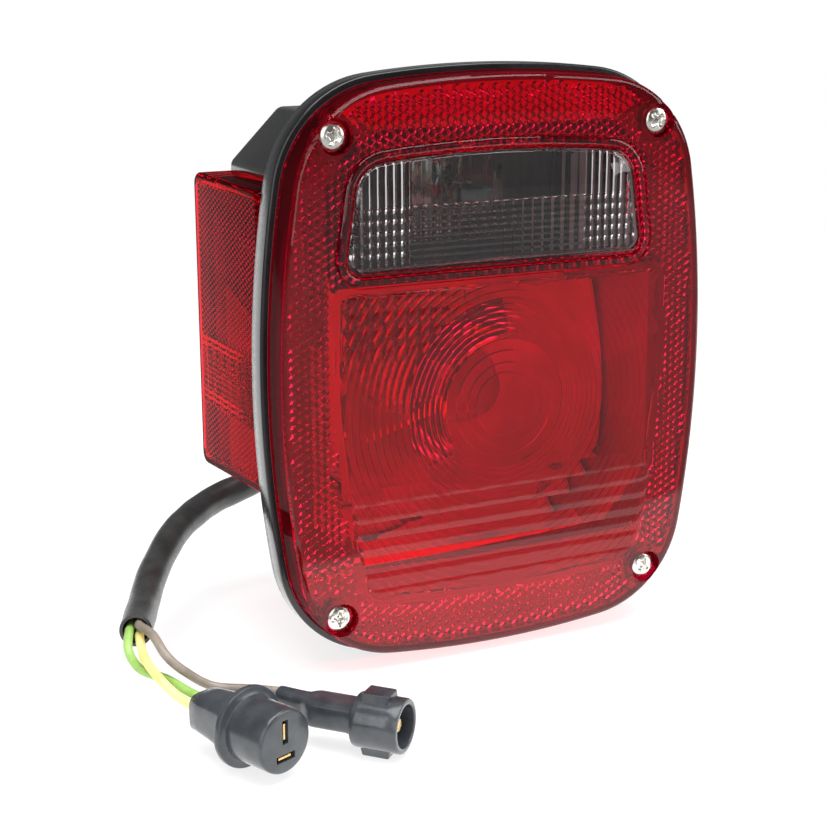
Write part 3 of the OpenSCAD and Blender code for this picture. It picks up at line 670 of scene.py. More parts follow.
def lens_inner_face(shell, inner, window_loop):
    """Reflex prisms round the edge, a flat border and Fresnel rings round the lower bulb."""
    centres = list(SCREWS.values())
    loop = level(inner, np.where(far_from(inner, centres, CUP_R), LENS_INNER, CUP_DEPTH))
    posts = [level(circle(c, POST_R), CUP_DEPTH) for c in centres]
    chains = []
    for c in centres:
        for radius, depth in ((CUP_R - 0.12, CUP_DEPTH), (CUP_R + 0.05, LENS_INNER)):
            ring = circle(c, radius)
            chains += runs(level(ring, depth), inside(ring, grown(inner, -0.25)))
    optic = optic_outline()
    for grow, rise in ((0.9, 0), (0.5, 0.12), (-0.3, 0.12), (-0.7, 0)):
        chains.append(closed(level(grown(optic, grow), LENS_INNER - rise)))

    def band(margin):
        def within(p):
            keep = inside(p, grown(inner, -0.35 - margin))
            keep &= far_from(p, centres, CUP_R + 0.7 + margin)
            for shape in (grown(optic, 1.5 + margin), window_outline(1.0 + margin)):
                keep &= ~inside(p, shape)
            return keep
        return within

    points = cube_corners(band(0), band(0.9), LENS_INNER, PRISM_PITCH, (-85, -104), (85, 104))
    optic_room = grown(optic, -1.4)
    radii = [7.9, 11.2, 14.6, 18.8, 22.9]
    while radii[-1] < 80:
        radii.append(radii[-1] + (2.05 if radii[-1] < 36 else 2.6))
    rise = [0.15, 0.5, 0.65, 0.85, 1.0] + [1.1] * (len(radii) - 5)
    rings, middle = ring_lens((BULB_X, STOP_Z), radii, LENS_INNER, rise, lambda p: inside(p, optic_room))
    shell.plate([loop, window_loop] + posts, chains + rings, points + middle)
    return loop, posts


def build_red_lens():
    shell = Shell()
    outer = front_outline(0)
    inner = front_outline(-LENS_WALL)
    frame_loop, rims = lens_front_face(shell, outer)
    window_back = level(window_outline(0), LENS_INNER)
    inner_loop, posts = lens_inner_face(shell, inner, window_back)
    shell.bands([
        level(outer, LENS_FRONT - LENS_EDGE_R), level(lens_outline(0), LENS_BACK),
        level(lens_outline(-LENS_WALL), LENS_BACK), inner_loop,
    ])
    frame_loops = [level(window_outline(g), LENS_FRONT + rise) for g, rise in FRAME_PROFILE]
    shell.bands([frame_loop, *frame_loops, window_back])
    for centre, rim, post in zip(SCREWS.values(), rims, posts):
        pocket = [(POCKET_R, SCREW_SEAT), (HOLE_R, SCREW_SEAT), (HOLE_R, LENS_BACK), (POST_R, LENS_BACK)]
        shell.bands([rim, *turned(centre, pocket), post])
    shell.to_piece("red_lens_moulding", "lens", "red_lens", smooth_angle=8)


# ---- Clear window ----


def build_clear_window():
    front = LENS_FRONT + 0.3
    back = LENS_INNER
    fit = window_outline(-GAP)
    shell = Shell()
    face_loop = level(grown(fit, -1.2), front)
    shell.bands([
        face_loop, level(grown(fit, -0.9), front - 0.1), level(grown(fit, -0.5), front - 0.7),
        level(fit, front - 0.8), level(fit, back),
    ])
    shell.plate([face_loop])
    middle_from, middle_to, rows_top = -34.0, 33.0, 57.5
    side_pitch, middle_pitch, row_pitch = 2.9, 3.8, 3.6

    def relief(x, z):
        """Upright flutes crossed by rows, which stop below the top; both are stronger at the sides."""
        side = (x < middle_from) | (x > middle_to)
        u = (x / np.where(side, side_pitch, middle_pitch)) % 1 * 2 - 1
        columns = np.where(side, 0.95, np.where(z > rows_top, 0.16, 0.5)) * (1 - u * u)
        v = (z / np.where(side, row_pitch, row_pitch * 0.61)) % 1 * 2 - 1
        rows = np.where(z < rows_top, np.where(side, 0.6, 0.4), 0.0) * (1 - v * v)
        return columns + rows

    xs = np.arange(-60, 60, 0.475)
    zs = np.arange(36, 80, 0.55)
    spots = np.array([(x, z) for x in xs for z in zs])
    spots = spots[inside(spots, grown(fit, -1.3))]
    depth = back - relief(spots[:, 0], spots[:, 1])
    room = closed(level(grown(fit, -1.0), back))
    shell.plate([level(fit, back)], [room], [(x, d, z) for (x, z), d in zip(spots, depth)])
    shell.to_piece("clear_window_moulding", "lens", "clear_window", smooth_angle=40)


# ---- Side marker ----


def build_side_marker():
    """A shallow red dish: reflex prisms inside its face above and below, and upright flutes between them.
    Points are (forward, out from the wall, up)."""
    out = -marker_low[0] + marker_high[0]
    front = -marker_low[1]
    bottom, top = marker_low[2], marker_high[2]
    root = marker_high[0]
    skin, edge_r, climb = 2.4, 1.6, 4.0
    flute_low, flute_high, flute_pitch, flute_height = -19.5, 3.5, 7.5, 1.5
    corners = [(0, bottom, 4.5), (front, bottom + climb, 3.5), (front, top, 3.5), (0, top, 4.5)]
    outline = rounded_outline(corners)
    inner = grown(outline, -skin)
    base = out - skin
    shell = Shell()
    edge = [(0.0, 1.0), (0.076, 0.617), (0.293, 0.293), (0.617, 0.076), (1.0, 0.0)]
    loops = [level(outline, 0)]
    loops += [level(grown(outline, -a * edge_r), out - b * edge_r) for a, b in edge]
    shell.bands(loops)
    shell.bands([level(outline, 0), level(inner, 0), level(inner, base)])
    shell.plate([loops[-1]])
    wide = grown(inner, -0.5)
    room = grown(inner, -1.6)

    def reflex(p):
        return inside(p, room) & ((p[:, 1] < flute_low - 1) | (p[:, 1] > flute_high + 1))

    points = cube_corners(lambda p: inside(p, wide), reflex, base, 2.1, (0, bottom), (front, top), 0.8)
    xs = np.arange(3, front - 2, 0.5)
    zs = np.arange(flute_low, flute_high, 2.0)
    flutes = np.array([(x, z) for x in xs for z in zs])
    flutes = flutes[inside(flutes, room)]
    u = (flutes[:, 0] / flute_pitch) % 1 * 2 - 1
    points += [(x, base - h, z) for (x, z), h in zip(flutes, flute_height * (1 - u * u))]
    shell.plate([level(inner, base)], [], points)

    def place(p):
        return ((root - p[1]) * MM, -p[0] * MM, p[2] * MM)

    shell.to_piece("side_marker_moulding", "housing", "side_marker_lens", MARKER_RED,
                   place=place, smooth_angle=12)


# ---- Housing ----

BOX_HALF_W = 66.0
BOX_TOP = 84.7
BOX_BOTTOM = -66.0
BOX_CHAMFER = 19.0
BOX_WALL = 2.5
BOX_EDGE_R = 2.0
CORNER_STEPS = 4
LEFT_WALL = 7 * (CORNER_STEPS + 1) - 1  # the outline's edge that is the straight left wall
PLATE_BACK = FLANGE_FRONT - FLANGE_SKIN
STUDS = [(-40, 50), (40, 50), (0, -46)]
PANEL_POSTS = [(-50, 68), (50, 68), (46, -50)]
CABLE_EXIT = (-43, -52.5)
PAINTED_LIGHT_EDGE = -3.3  # where the plate's painted light ends, in from the lens's outline
SHELF_Z = BOX_BOTTOM - 1
FLANGE_PROFILE = [  # (half lips out from the lens's outline, or millimetres in; depth behind the front)
    (1.2, 0.0), (1.6, 0.08), (1.85, 0.28), (1.97, 0.55), (2.0, 0.9), (2.0, FLANGE_RIM - 0.6),
    (1.8, FLANGE_RIM - 0.15), (1.4, FLANGE_RIM), (-0.6, FLANGE_RIM), (-1.0, FLANGE_RIM - 0.5),
    (-1.0, FLANGE_SKIN),
]


def box_outline(inset):
    """The housing box's outline with its corners eased, starting at the left end of its lower edge."""
    w, t, b, c = BOX_HALF_W, BOX_TOP, BOX_BOTTOM, BOX_CHAMFER
    corners = [
        (-w + c, b), (w - c, b), (w, b + c), (w, t - c), (w - c, t), (-w + c, t), (-w, t - c), (-w, b + c),
    ]
    return grown(rounded_outline([(x, z, 4.0) for x, z in corners], CORNER_STEPS), -inset)


def add_flange(shell, outline, inner):
    """The flange that the lens sits on, open over the box, with a boss behind each screw."""
    boss_r, boss_back, bore_r = 5.5, FLANGE_FRONT - 11, 2.45
    flange = [
        level(lens_outline(g * FLANGE_LIP / 2 if g > 0 else g), FLANGE_FRONT - back)
        for g, back in FLANGE_PROFILE
    ]
    shell.bands(flange)
    screws = list(SCREWS.values())
    bores = [level(circle(c, bore_r), FLANGE_FRONT) for c in screws]
    bosses = [level(circle(c, boss_r), PLATE_BACK) for c in screws]
    # The plate's triangles split where its painted light changes level.
    painted_light_edge = closed(level(lens_outline(PAINTED_LIGHT_EDGE), FLANGE_FRONT))
    shelf_line = level([(x, SHELF_Z) for x in (-76, 76)], FLANGE_FRONT)
    shell.plate([flange[0], level(inner, FLANGE_FRONT)] + bores, [painted_light_edge, shelf_line])
    shell.plate([flange[-1], level(outline, PLATE_BACK)] + bosses)
    for centre, boss, bore in zip(screws, bosses, bores):
        shell.bands([boss, *turned(centre, [(boss_r, boss_back), (bore_r, boss_back)]), bore])


def add_left_wall(shell, outline, inner):
    """The box's left wall, with the side marker's opening through it."""
    y0, y1, z0, z1 = 6.0, -marker_low[1] - 6, marker_low[2] + 6, marker_high[2] - 6
    window = [(y0, z0), (y1, z0), (y1, z1), (y0, z1)]
    rims = []
    for ring, near, far in ((outline, BOX_EDGE_R, PLATE_BACK), (inner, BOX_WALL, FLANGE_FRONT)):
        top, low = ring[LEFT_WALL], ring[LEFT_WALL + 1]
        sides = ((low, near), (low, far), (top, far), (top, near))
        rims.append([(low[0], y, z) for y, z in window])
        shell.band([(end[0], y, end[1]) for end, y in sides], rims[-1])
    shell.band(rims[0], rims[1])


def add_back(shell, rear_loop, inner):
    """The box's back, with the stud holes, the cable exit and the reflector panel's posts."""
    stud_r, exit_r, exit_lip_r, exit_boss_r, exit_boss = 3.65, 9.05, 10.0, 9.85, 5.0
    post_r, post_bore, post_top = 4.0, 1.75, -panel_high[1] - GAP
    exit_loops = turned(CABLE_EXIT, [
        (exit_lip_r, 0), (exit_lip_r, 2), (exit_r, 2), (exit_r, exit_boss), (exit_boss_r, exit_boss),
        (exit_boss_r, BOX_WALL),
    ])
    studs = [turned(c, [(stud_r, 0), (stud_r, BOX_WALL)]) for c in STUDS]
    post = [(post_r, BOX_WALL), (post_r, post_top), (post_bore, post_top), (post_bore, BOX_WALL + 1)]
    posts = [turned(c, post) for c in PANEL_POSTS]
    shell.plate([rear_loop, exit_loops[0]] + [loops[0] for loops in studs])
    front_rims = [loops[1] for loops in studs] + [loops[0] for loops in posts]
    shell.plate([level(inner, BOX_WALL), exit_loops[-1]] + front_rims)
    for loops in [exit_loops] + studs + posts:
        shell.bands(loops)
    for loops in posts:
        shell.face(loops[-1])


def paint_light_inside(piece):
    """Marks how much silver painted light each face carries, in the box below the baffle and on the flange
    under the lens.
    """
    # Painted light: the silver levels differ by wall and zone, brighter on the right wall, the box's floor
    # and the plate above the box.
    left_wall, right_wall, floor = 0.3, 0.55, 1.0
    plate_below, plate_above, plate_beside = 0.4, 0.65, 0.15
    centres = np.array([f.center for f in piece.data.polygons]) / MM
    side_wall = np.array([abs(f.normal[0]) > 0.6 for f in piece.data.polygons])
    spots, depths = centres[:, [0, 2]], -centres[:, 1]
    x, z = spots[:, 0], spots[:, 1]
    in_box = inside(spots, box_outline(BOX_WALL / 2)) & (depths > BOX_WALL / 2) & (z < BAFFLE_Z)
    on_plate = inside(spots, lens_outline(PAINTED_LIGHT_EDGE - 0.05)) & (depths > FLANGE_FRONT - FLANGE_SKIN / 2)
    box_painted_light = np.where(side_wall, np.where(x > 0, right_wall, left_wall), floor)
    plate_painted_light = np.select([z < SHELF_Z, z > BOX_TOP + 1], [plate_below, plate_above], plate_beside)
    painted = piece.data.attributes.new("painted_light_inside", "FLOAT", "FACE")
    painted.data.foreach_set("value", np.where(in_box, box_painted_light, on_plate * plate_painted_light).astype(np.float32))


def build_housing():
    shell = Shell()
    outline = box_outline(0)
    inner = box_outline(BOX_WALL - 0.1)
    add_flange(shell, outline, inner)
    ease = [(0.0, BOX_EDGE_R), (0.15, 1.2), (0.6, 0.6), (1.2, 0.15), (BOX_EDGE_R, 0.0)]
    rear = [level(box_outline(inset), depth) for inset, depth in ease]
    shell.band(level(outline, PLATE_BACK), rear[0], skip=(LEFT_WALL,))
    shell.band(level(inner, FLANGE_FRONT), level(inner, BOX_WALL), skip=(LEFT_WALL,))
    shell.bands(rear)
    add_left_wall(shell, outline, inner)
    add_back(shell, rear[-1], inner)
    piece = shell.to_object("housing_moulding", MATERIALS["black_plastic"], smooth_angle=32)
    paint_light_inside(piece)
    adopt(piece, "housing", "housing")


def build_gasket():
    back, front = -gasket_high[1], -gasket_low[1]
    profile = [
        (-0.35, front), (-0.12, front - 0.2), (-GAP, (front + back) / 2), (-0.12, back + 0.2), (-0.35, back),
        (-2.8, back), (-3.0, back + 0.2), (-3.0, front - 0.2), (-2.8, front),
    ]
    shell = Shell()
    shell.bands(closed([level(lens_outline(g), d) for g, d in profile]))
    shell.to_piece("gasket_strip", "housing", "lens_gasket")


# ---- Turned and threaded parts ----


def lathe(shell, centre, profile, steps=40):
    """Turns a profile of (radius, depth) points about a line along the depth axis."""
    loops = turned(centre, profile, steps)
    shell.bands(loops)
    return loops


def thread(shell, centre, crest, root, pitch, start, end, taper=0.0, steps=36):
    """A screw thread from one depth to another, its last fifth tapered; returns its first and last loops."""
    per_turn = 10
    sign = 1 if end > start else -1
    rows = int(abs(end - start) / pitch * per_turn)
    loops = []
    for k in range(rows + 1):
        depth = start + (end - start) * k / rows
        fade = min(1.0, k / per_turn, (rows - k) / per_turn)
        core = root - taper * max(0.0, k / rows - 0.8) * 5
        ring = []
        for i in range(steps):
            turn = i / steps
            phase = (k / per_turn - sign * turn) % 1
            wave = 1 - abs(2 * phase - 1)
            r = core + (crest - root) * min(1.0, wave * 1.6) * fade
            angle = 2 * math.pi * turn
            ring.append((centre[0] + r * math.cos(angle), depth, centre[1] + r * math.sin(angle)))
        loops.append(ring)
    shell.bands(loops)
    return loops[0], loops[-1]


def cross_recess(name, top):
    """Cutter for a tapered cross recess in a screw head."""
    half_w, reach, depth, floor_share = 0.62, 2.75, 1.7, 0.42
    loops = []
    for at, share in ((top + 1, 1.0), (top, 1.0), (top - depth, floor_share)):
        w = half_w * (0.6 + 0.4 * share)
        arm = reach * share
        ring = []
        for angle in np.arange(4) * math.pi / 2:
            u = np.array([math.cos(angle), math.sin(angle)])
            v = np.array([-u[1], u[0]])
            ring += [u * arm - v * w, u * arm + v * w, (u + v) * w * 1.15]
        loops.append(level(ring, at))
    cutter = Shell()
    cutter.solid(loops)
    return cutter.to_object(name, MATERIALS["screw_steel"])


def subtract(piece, cutter):
    """Cuts one mesh out of another, and removes the cutter."""
    modifier = piece.modifiers.new("cut", "BOOLEAN")
    modifier.operation = "DIFFERENCE"
    modifier.solver = "EXACT"
    modifier.object = cutter
    bpy.context.view_layer.update()
    result = bpy.data.meshes.new_from_object(piece.evaluated_get(bpy.context.evaluated_depsgraph_get()))
    piece.modifiers.clear()
    piece.data = result
    bpy.data.objects.remove(cutter)


def build_screw(place, turn):
    """Pan-head screw with a cross recess and a real thread, turned to its own angle."""
    shell = Shell()
    head = SCREW_SEAT + GAP
    top = SCREW_SEAT + SCREW_HEAD_H + SCREW_HEAD_EXTRA[0]
    r = SCREW_HEAD_R + SCREW_HEAD_EXTRA[1]
    loops = lathe(shell, (0, 0), [
        (r * 0.35, top), (r * 0.62, top - 0.2), (r * 0.82, top - 0.6), (r * 0.94, top - 1.2), (r, top - 2.0),
        (r, head + 0.15), (r - 0.15, head), (2.0, head), (2.0, head - 1.0),
    ])
    shell.face(loops[0])
    first, last = thread(shell, (0, 0), SCREW_R, 1.75, 1.6, head - 1.0, SCREW_TIP + 1.6, taper=0.6, steps=40)
    shell.band(loops[-1], first)
    tip = level(circle((0, 0), 0.35, 40), SCREW_TIP)
    shell.band(last, tip)
    shell.face(tip)
    piece = shell.to_object("screw_" + place, MATERIALS["screw_steel"], smooth_angle=35)
    subtract(piece, cross_recess("recess_" + place, top))
    x, z = SCREWS[place]
    turned_by = Matrix.Rotation(math.radians(turn), 4, "Y")
    piece.data.transform(Matrix.Translation((x * MM, 0, z * MM)) @ turned_by)
    adopt(piece, "screw_" + place, "lens_screw_" + place)


def build_studs():
    shell = Shell()
    strap = 1 + GAP  # the ground strap under the lowest stud's head
    reach = -box_mm("mounting_studs")[1][1]
    for centre in STUDS:
        seat = BOX_WALL + GAP + (strap if centre == STUDS[2] else 0)
        loops = lathe(shell, centre, [
            (5.6, seat + 2.4), (6.4, seat + 2.2), (7.0, seat + 1.4), (7.0, seat + 0.2), (6.8, seat),
            (3.55, seat), (3.55, 0.1), (2.7, 0.0),
        ], 36)
        shell.face(loops[0])
        first, last = thread(shell, centre, 3.175, 2.6, 1.27, -1.0, reach + 0.8)
        shell.bands([loops[-1], level(circle(centre, 2.6, 36), -0.6), first])
        tip = level(circle(centre, 2.2, 36), reach)
        shell.band(last, tip)
        shell.face(tip)
    shell.to_piece("threaded_studs", "housing", "mounting_studs", smooth_angle=35)


def build_grommet():
    bore = SLEEVE_R + GAP
    shell = Shell()
    shell.bands(closed(turned(CABLE_EXIT, [
        (bore, 0.6), (bore + 0.4, 0.3), (9.2, 0.3), (9.65, 0.6), (9.8, 1.1), (9.8, 1.7), (9.6, 1.95),
        (9.0, 1.95), (9.0, 5.05), (9.6, 5.05), (9.75, 5.4), (8.8, 7.0), (bore + 0.4, 7.0), (bore, 6.6),
    ])))
    shell.to_piece("grommet_ring", "housing", "cable_grommet")


def build_bulb_glass(name, node, body, z):
    """Blown envelope: a neck that opens into a ball, with the same thin wall all round."""
    centre = (BULB_X, z)
    ball_r, ball_at, neck_r, foot, skin = 13.1, 52.5, 6.95, 27.0, 0.6
    start = math.asin(neck_r / ball_r) + 0.35
    angles = np.linspace(0.02, math.pi - start, 22)
    outer = [(ball_r * math.sin(a), ball_at + ball_r * math.cos(a)) for a in angles]
    r, d = outer[-1]
    outer += [(r - 1.6, d - 2.6), (neck_r + 0.9, d - 5.6), (neck_r, d - 8.4), (neck_r, foot)]
    profile = np.array(outer)
    run = np.gradient(profile, axis=0)
    run /= np.linalg.norm(run, axis=1)[:, None]
    inner = profile - skin * np.stack([-run[:, 1], run[:, 0]], axis=1)
    inner[0] = (0.02, profile[0][1] - skin)
    inner[-1] = (neck_r - skin, foot)
    shell = Shell()
    shell.solid(turned(centre, [*outer, *inner[::-1]]))
    shell.to_piece(name, body, node, smooth_angle=60)


# ---- Springs, cable and wires: a round section carried along a line ----

SLEEVE_LINE = np.array([
    (-43, -8, -52.5), (-43, -2, -52.5), (-43, 4, -52.5), (-46.5, 14, -56.5), (-57, 18.5, -62.9),
    (-70.2, 14.5, -65.3), (-83.9, 3, -66.7), (-96.1, -10, -69.2), (-111.4, -34, -73.3),
    (-122.4, -57, -75.6), (-132.8, -82, -74),
])
SLEEVE_R = 5.5
SLEEVE_BORE_R = 4.3
WIRE_R = 1.5
WIRE_RING_R = 2.1
WIRE_LAY = -60  # degrees that the wires turn about the sleeve's centre along its length
LINE_STEPS = 8


def place_row(p):
    return (p[0] * MM, p[1] * MM, p[2] * MM)


def smooth_line(points, before=None, after=None):
    """A smooth line through the points; before and after are where it goes on to past its ends."""
    p = np.array(points, float)
    before = 2 * p[0] - p[1] if before is None else before
    after = 2 * p[-1] - p[-2] if after is None else after
    p = np.concatenate([[before], p, [after]])
    out = []
    for a, b, c, d in zip(p, p[1:], p[2:], p[3:]):
        for t in np.arange(LINE_STEPS) / LINE_STEPS:
            out.append(0.5 * (
                2 * b + (c - a) * t + (2 * a - 5 * b + 4 * c - d) * t * t + (3 * b - a - 3 * c + d) * t ** 3
            ))
    return np.array(out + [p[-2]])


def across(line):
    """At each point of a line, the sideways and upward directions across it."""
    heading = np.gradient(line, axis=0)
    heading /= np.linalg.norm(heading, axis=1)[:, None]
    side = np.cross(heading, [0, 0, 1])
    side /= np.linalg.norm(side, axis=1)[:, None]
    return side, np.cross(side, heading)


def sweep_loops(line, radii, sides):
    side, up = across(line)
    angles = np.arange(sides) * 2 * math.pi / sides
    return [
        [tuple(c + r * (math.cos(t) * s + math.sin(t) * u)) for t in angles]
        for c, s, u, r in zip(line, side, up, np.broadcast_to(radii, len(line)))
    ]


def rounded_rod(shell, line, radius, sides):
    """A solid round section along a line, its ends eased."""
    radii = np.full(len(line), radius)
    radii[0] = radii[-1] = radius * 0.86
    shell.solid(sweep_loops(line, radii, sides))


def build_sleeve():
    """The sleeve, with a slight uneven swell along it."""
    line = smooth_line(SLEEVE_LINE)
    along = np.arange(len(line))
    swell = 0.10 * np.sin(along * 0.9) * np.sin(along * 0.23)
    outer = sweep_loops(line, SLEEVE_R - 0.12 + swell, 40)
    bore = sweep_loops(line, SLEEVE_BORE_R, 40)
    shell = Shell()
    shell.bands(closed(outer + bore[::-1]))
    shell.to_piece("cable_sleeve_tube", "housing", "cable_sleeve", place=place_row, smooth_angle=50)


def wire_in_sleeve(around):
    """A wire's line inside the sleeve, held off its centre and turning slowly about it."""
    line = smooth_line(SLEEVE_LINE)
    side, up = across(line)
    a = np.radians(around + WIRE_LAY * np.linspace(0, 1, len(line)))[:, None]
    return line + WIRE_RING_R * (np.cos(a) * side + np.sin(a) * up)


def lead_in(z, around):
    """The last stretch of a wire, straight into a socket's lead hole."""
    a = math.radians(around)
    shell_r, lead_depth = 8.4, 8.6
    reach = (shell_r - 0.2, shell_r + 3, shell_r + 7)
    return [(BULB_X + r * math.cos(a), -lead_depth, z - r * math.sin(a)) for r in reach]


def build_wire(node, inside_points, around, outside_points):
    sheathed = wire_in_sleeve(around)
    first = smooth_line([*inside_points, sheathed[0]], after=sheathed[1])
    last = smooth_line([sheathed[-1], *outside_points], before=sheathed[-2])
    shell = Shell()
    rounded_rod(shell, np.concatenate([first[:-1], sheathed, last[1:]]), WIRE_R, 20)
    shell.to_piece(node + "_strand", "housing", node, place=place_row, smooth_angle=50)


def build_wires():
    build_wire("yellow_wire", lead_in(STOP_Z, 150) + [(-30, -9.5, -45), (-36.5, -11, -54)], 300, [
        (-133.6, -93, -79.3), (-131.6, -102, -83.4), (-127.6, -108, -88), (-122, -115, -91.2),
        (-120.6, -118.5, -91.4),
    ])
    build_wire("green_wire", lead_in(STOP_Z, 180) + [(-33, -9.5, -34), (-38.2, -11, -46)], 60, [
        (-137.6, -89, -77.6), (-134.8, -92.6, -83.2), (-128.5, -99, -85.2), (-123.4, -108, -87.4),
        (-119.6, -115.5, -88), (-118.4, -119, -88),
    ])
    grey_inside = [(-38, -9, 20), (-48, -9, -20), (-48.5, -11, -46)]
    build_wire("grey_wire", lead_in(BACKUP_Z, 180) + grey_inside, 180, [
        (-129.4, -89, -73.6), (-128, -98, -77.6), (-123.4, -101.6, -82.4), (-115, -104.6, -88),
        (-104, -111, -88.6), (-96.5, -117.5, -88.4),
    ])


def build_spring(node, z):
    """Compression spring behind a contact carrier."""
    low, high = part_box(node)
    wire, ring_r, sides = 0.45, 5.6, 12
    turns, per_turn, flat_share = 3, 36, 0.4
    start, end = -high[1] / MM + wire, -low[1] / MM - wire
    last = turns * per_turn
    flat = flat_share * per_turn
    angles = np.arange(sides) * 2 * math.pi / sides
    forward = np.array([0, 1, 0])
    loops = []
    for k in range(last + 1):
        a = 2 * math.pi * k / per_turn
        out = np.array([math.cos(a), 0.0, math.sin(a)])
        depth = np.interp(k, [0, flat, last - flat, last], [start, start + wire, end - wire, end])
        centre = np.array([BULB_X, depth, z]) + ring_r * out
        loops.append([centre + wire * (math.cos(t) * out + math.sin(t) * forward) for t in angles])
    shell = Shell()
    shell.solid(loops)
    piece = shell.to_piece(node + "_coil", "housing", node, smooth_angle=50)
    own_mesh(piece)


# ---- Plugs: points are (sideways, along the plug, up) in the plug's own frame ----


def plug_section(along, half_w, half_h, square=2, up=0.0, key=0.0, sides=72):
    """A section, round when square is 2 and boxier above; a key adds lugs of that height."""
    ring = []
    for k in range(sides):
        t = 2 * math.pi * (k + 0.5) / sides
        c, s = math.cos(t), math.sin(t)
        x = half_w * math.copysign(abs(c) ** (2 / square), c)
        z = half_h * math.copysign(abs(s) ** (2 / square), s)
        if key and abs(x) < 4:
            z = math.copysign(key, z)
        ring.append((x, along, z + up))
    return ring


def plug_place(origin, turn):
    a = math.radians(turn)
    forward = np.array([math.cos(a), math.sin(a), 0])
    left = np.array([-math.sin(a), math.cos(a), 0])

    def place(p):
        w = np.array(origin) + p[1] * forward + p[0] * left + np.array([0, 0, p[2]])
        return tuple(w * MM)

    return place


TWO_POLE_PLACE = plug_place((-114.2, -133.8, -90), -68.5)
TWO_POLE_FLOOR = 6.5
TWO_POLE_SLOTS = (3.2, -5.05)  # heights of the upright and the flat slot


def build_plug_blades():
    """The two-pole plug's brass blades: thin, flat, with eased tips just below the plug's face."""
    wide, thin, tip, ease = 2.7, 0.55, 16.1, 0.3
    profile = [
        (TWO_POLE_FLOOR + GAP, 0.0), (tip - 2 * ease, 0.0), (tip - 0.4 * ease, ease / 2), (tip, ease),
    ]
    shell = Shell()
    for half_x, half_z, up in ((thin, wide, TWO_POLE_SLOTS[0]), (wide, thin, TWO_POLE_SLOTS[1])):
        loops = []
        for along, shrink in profile:
            x, z = half_x - shrink, half_z - shrink
            loops.append([(-x, along, up - z), (x, along, up - z), (x, along, up + z), (-x, along, up + z)])
        shell.solid(loops)
    shell.to_piece("plug_blade_pair", "housing", "two_pole_plug_blades",
                   place=TWO_POLE_PLACE, smooth_angle=20)


def build_two_pole_plug():
    front, floor = 16.5, TWO_POLE_FLOOR
    sections = [
        (-21.0, 5.2, 4.9, 3.5), (-20.7, 5.9, 5.6, 3.8), (-20.0, 6.4, 6.1, 4), (-16.0, 6.8, 6.5, 4),
        (-11.0, 7.5, 7.0, 4), (-6.0, 8.3, 7.7, 4), (-3.4, 8.6, 8.0, 3.6), (-2.2, 8.9, 8.5, 3),
        (-1.6, 9.6, 9.4, 2.3), (-1.5, 12.4, 12.4), (-1.2, 12.95, 12.95), (-0.8, 13.1, 13.1),
        (0.3, 13.1, 13.1), (0.7, 12.95, 12.95), (0.9, 12.4, 12.4), (0.95, 10.8, 10.8), (1.3, 10.4, 10.4),
        (9.0, 10.3, 10.3), (15.2, 10.25, 10.25), (16.0, 10.1, 10.1), (16.35, 9.8, 9.8), (front, 9.3, 9.3),
    ]
    shell = Shell()
    loops = [plug_section(*s) for s in sections]
    shell.bands(loops)
    shell.face(loops[0])
    slot_half, slot_thick, r = 3.8, 1.15, 0.25
    upright_z, flat_z = TWO_POLE_SLOTS
    slots = []
    for half_x, half_z, z in ((slot_thick, slot_half, upright_z), (slot_half, slot_thick, flat_z)):
        slots.append(rounded_outline([
            (-half_x, z - half_z, r), (half_x, z - half_z, r),
            (half_x, z + half_z, r), (-half_x, z + half_z, r),
        ], steps=3))
    shell.plate([loops[-1]] + [level(s, front) for s in slots])
    for s in slots:
        shell.bands([level(s, front), level(s, floor)])
        shell.face(level(s, floor))
    shell.to_piece("two_pole_plug_body", "housing", "two_pole_plug", place=TWO_POLE_PLACE, smooth_angle=40)


def build_one_pole_plug():
    collar, bore, key = 8.8, 6.8, 10.4
    sections = [
        (-35.0, 2.3, 1.9, 2.5, 3.7), (-34.6, 2.8, 2.4, 2.5, 3.7), (-33.5, 2.95, 2.5, 2.5, 3.7),
        (-29.0, 3.1, 2.8, 2.8, 3.0), (-26.0, 3.5, 3.3, 3.2, 2.2), (-24.6, 4.2, 3.9, 3.6, 1.4),
        (-23.2, 5.4, 4.5, 4, 1.0), (-21.8, 5.9, 4.7, 4.5, 0.9), (-20.0, 6.0, 4.7, 4.5, 0.9),
        (-9.2, 6.0, 4.7, 4.5, 0.9), (-7.6, 6.3, 5.2, 3.6, 0.7), (-7.0, 8.0, 8.0),
        (-6.7, 8.6, 8.6), (-6.2, collar, collar), (-4.7, collar, collar),
        (-4.5, collar, collar, 2, 0, key - 0.3), (-4.1, collar, collar, 2, 0, key),
        (4.1, collar, collar, 2, 0, key), (4.5, collar, collar, 2, 0, key - 0.3), (4.7, collar, collar),
        (8.2, collar, collar), (8.8, 8.55, 8.55), (9.0, 8.1, 8.1), (9.0, 7.2, 7.2),
        (8.8, 6.9, 6.9), (8.4, bore, bore), (-4.0, bore, bore),
    ]
    shell = Shell()
    shell.solid([plug_section(*s) for s in sections])
    shell.to_piece("one_pole_plug_body", "housing", "one_pole_plug",
                   place=plug_place((-74.5, -143.5, -92.7), -48.6), smooth_angle=40)


# ---- Stage: floor, world, lights and camera ----


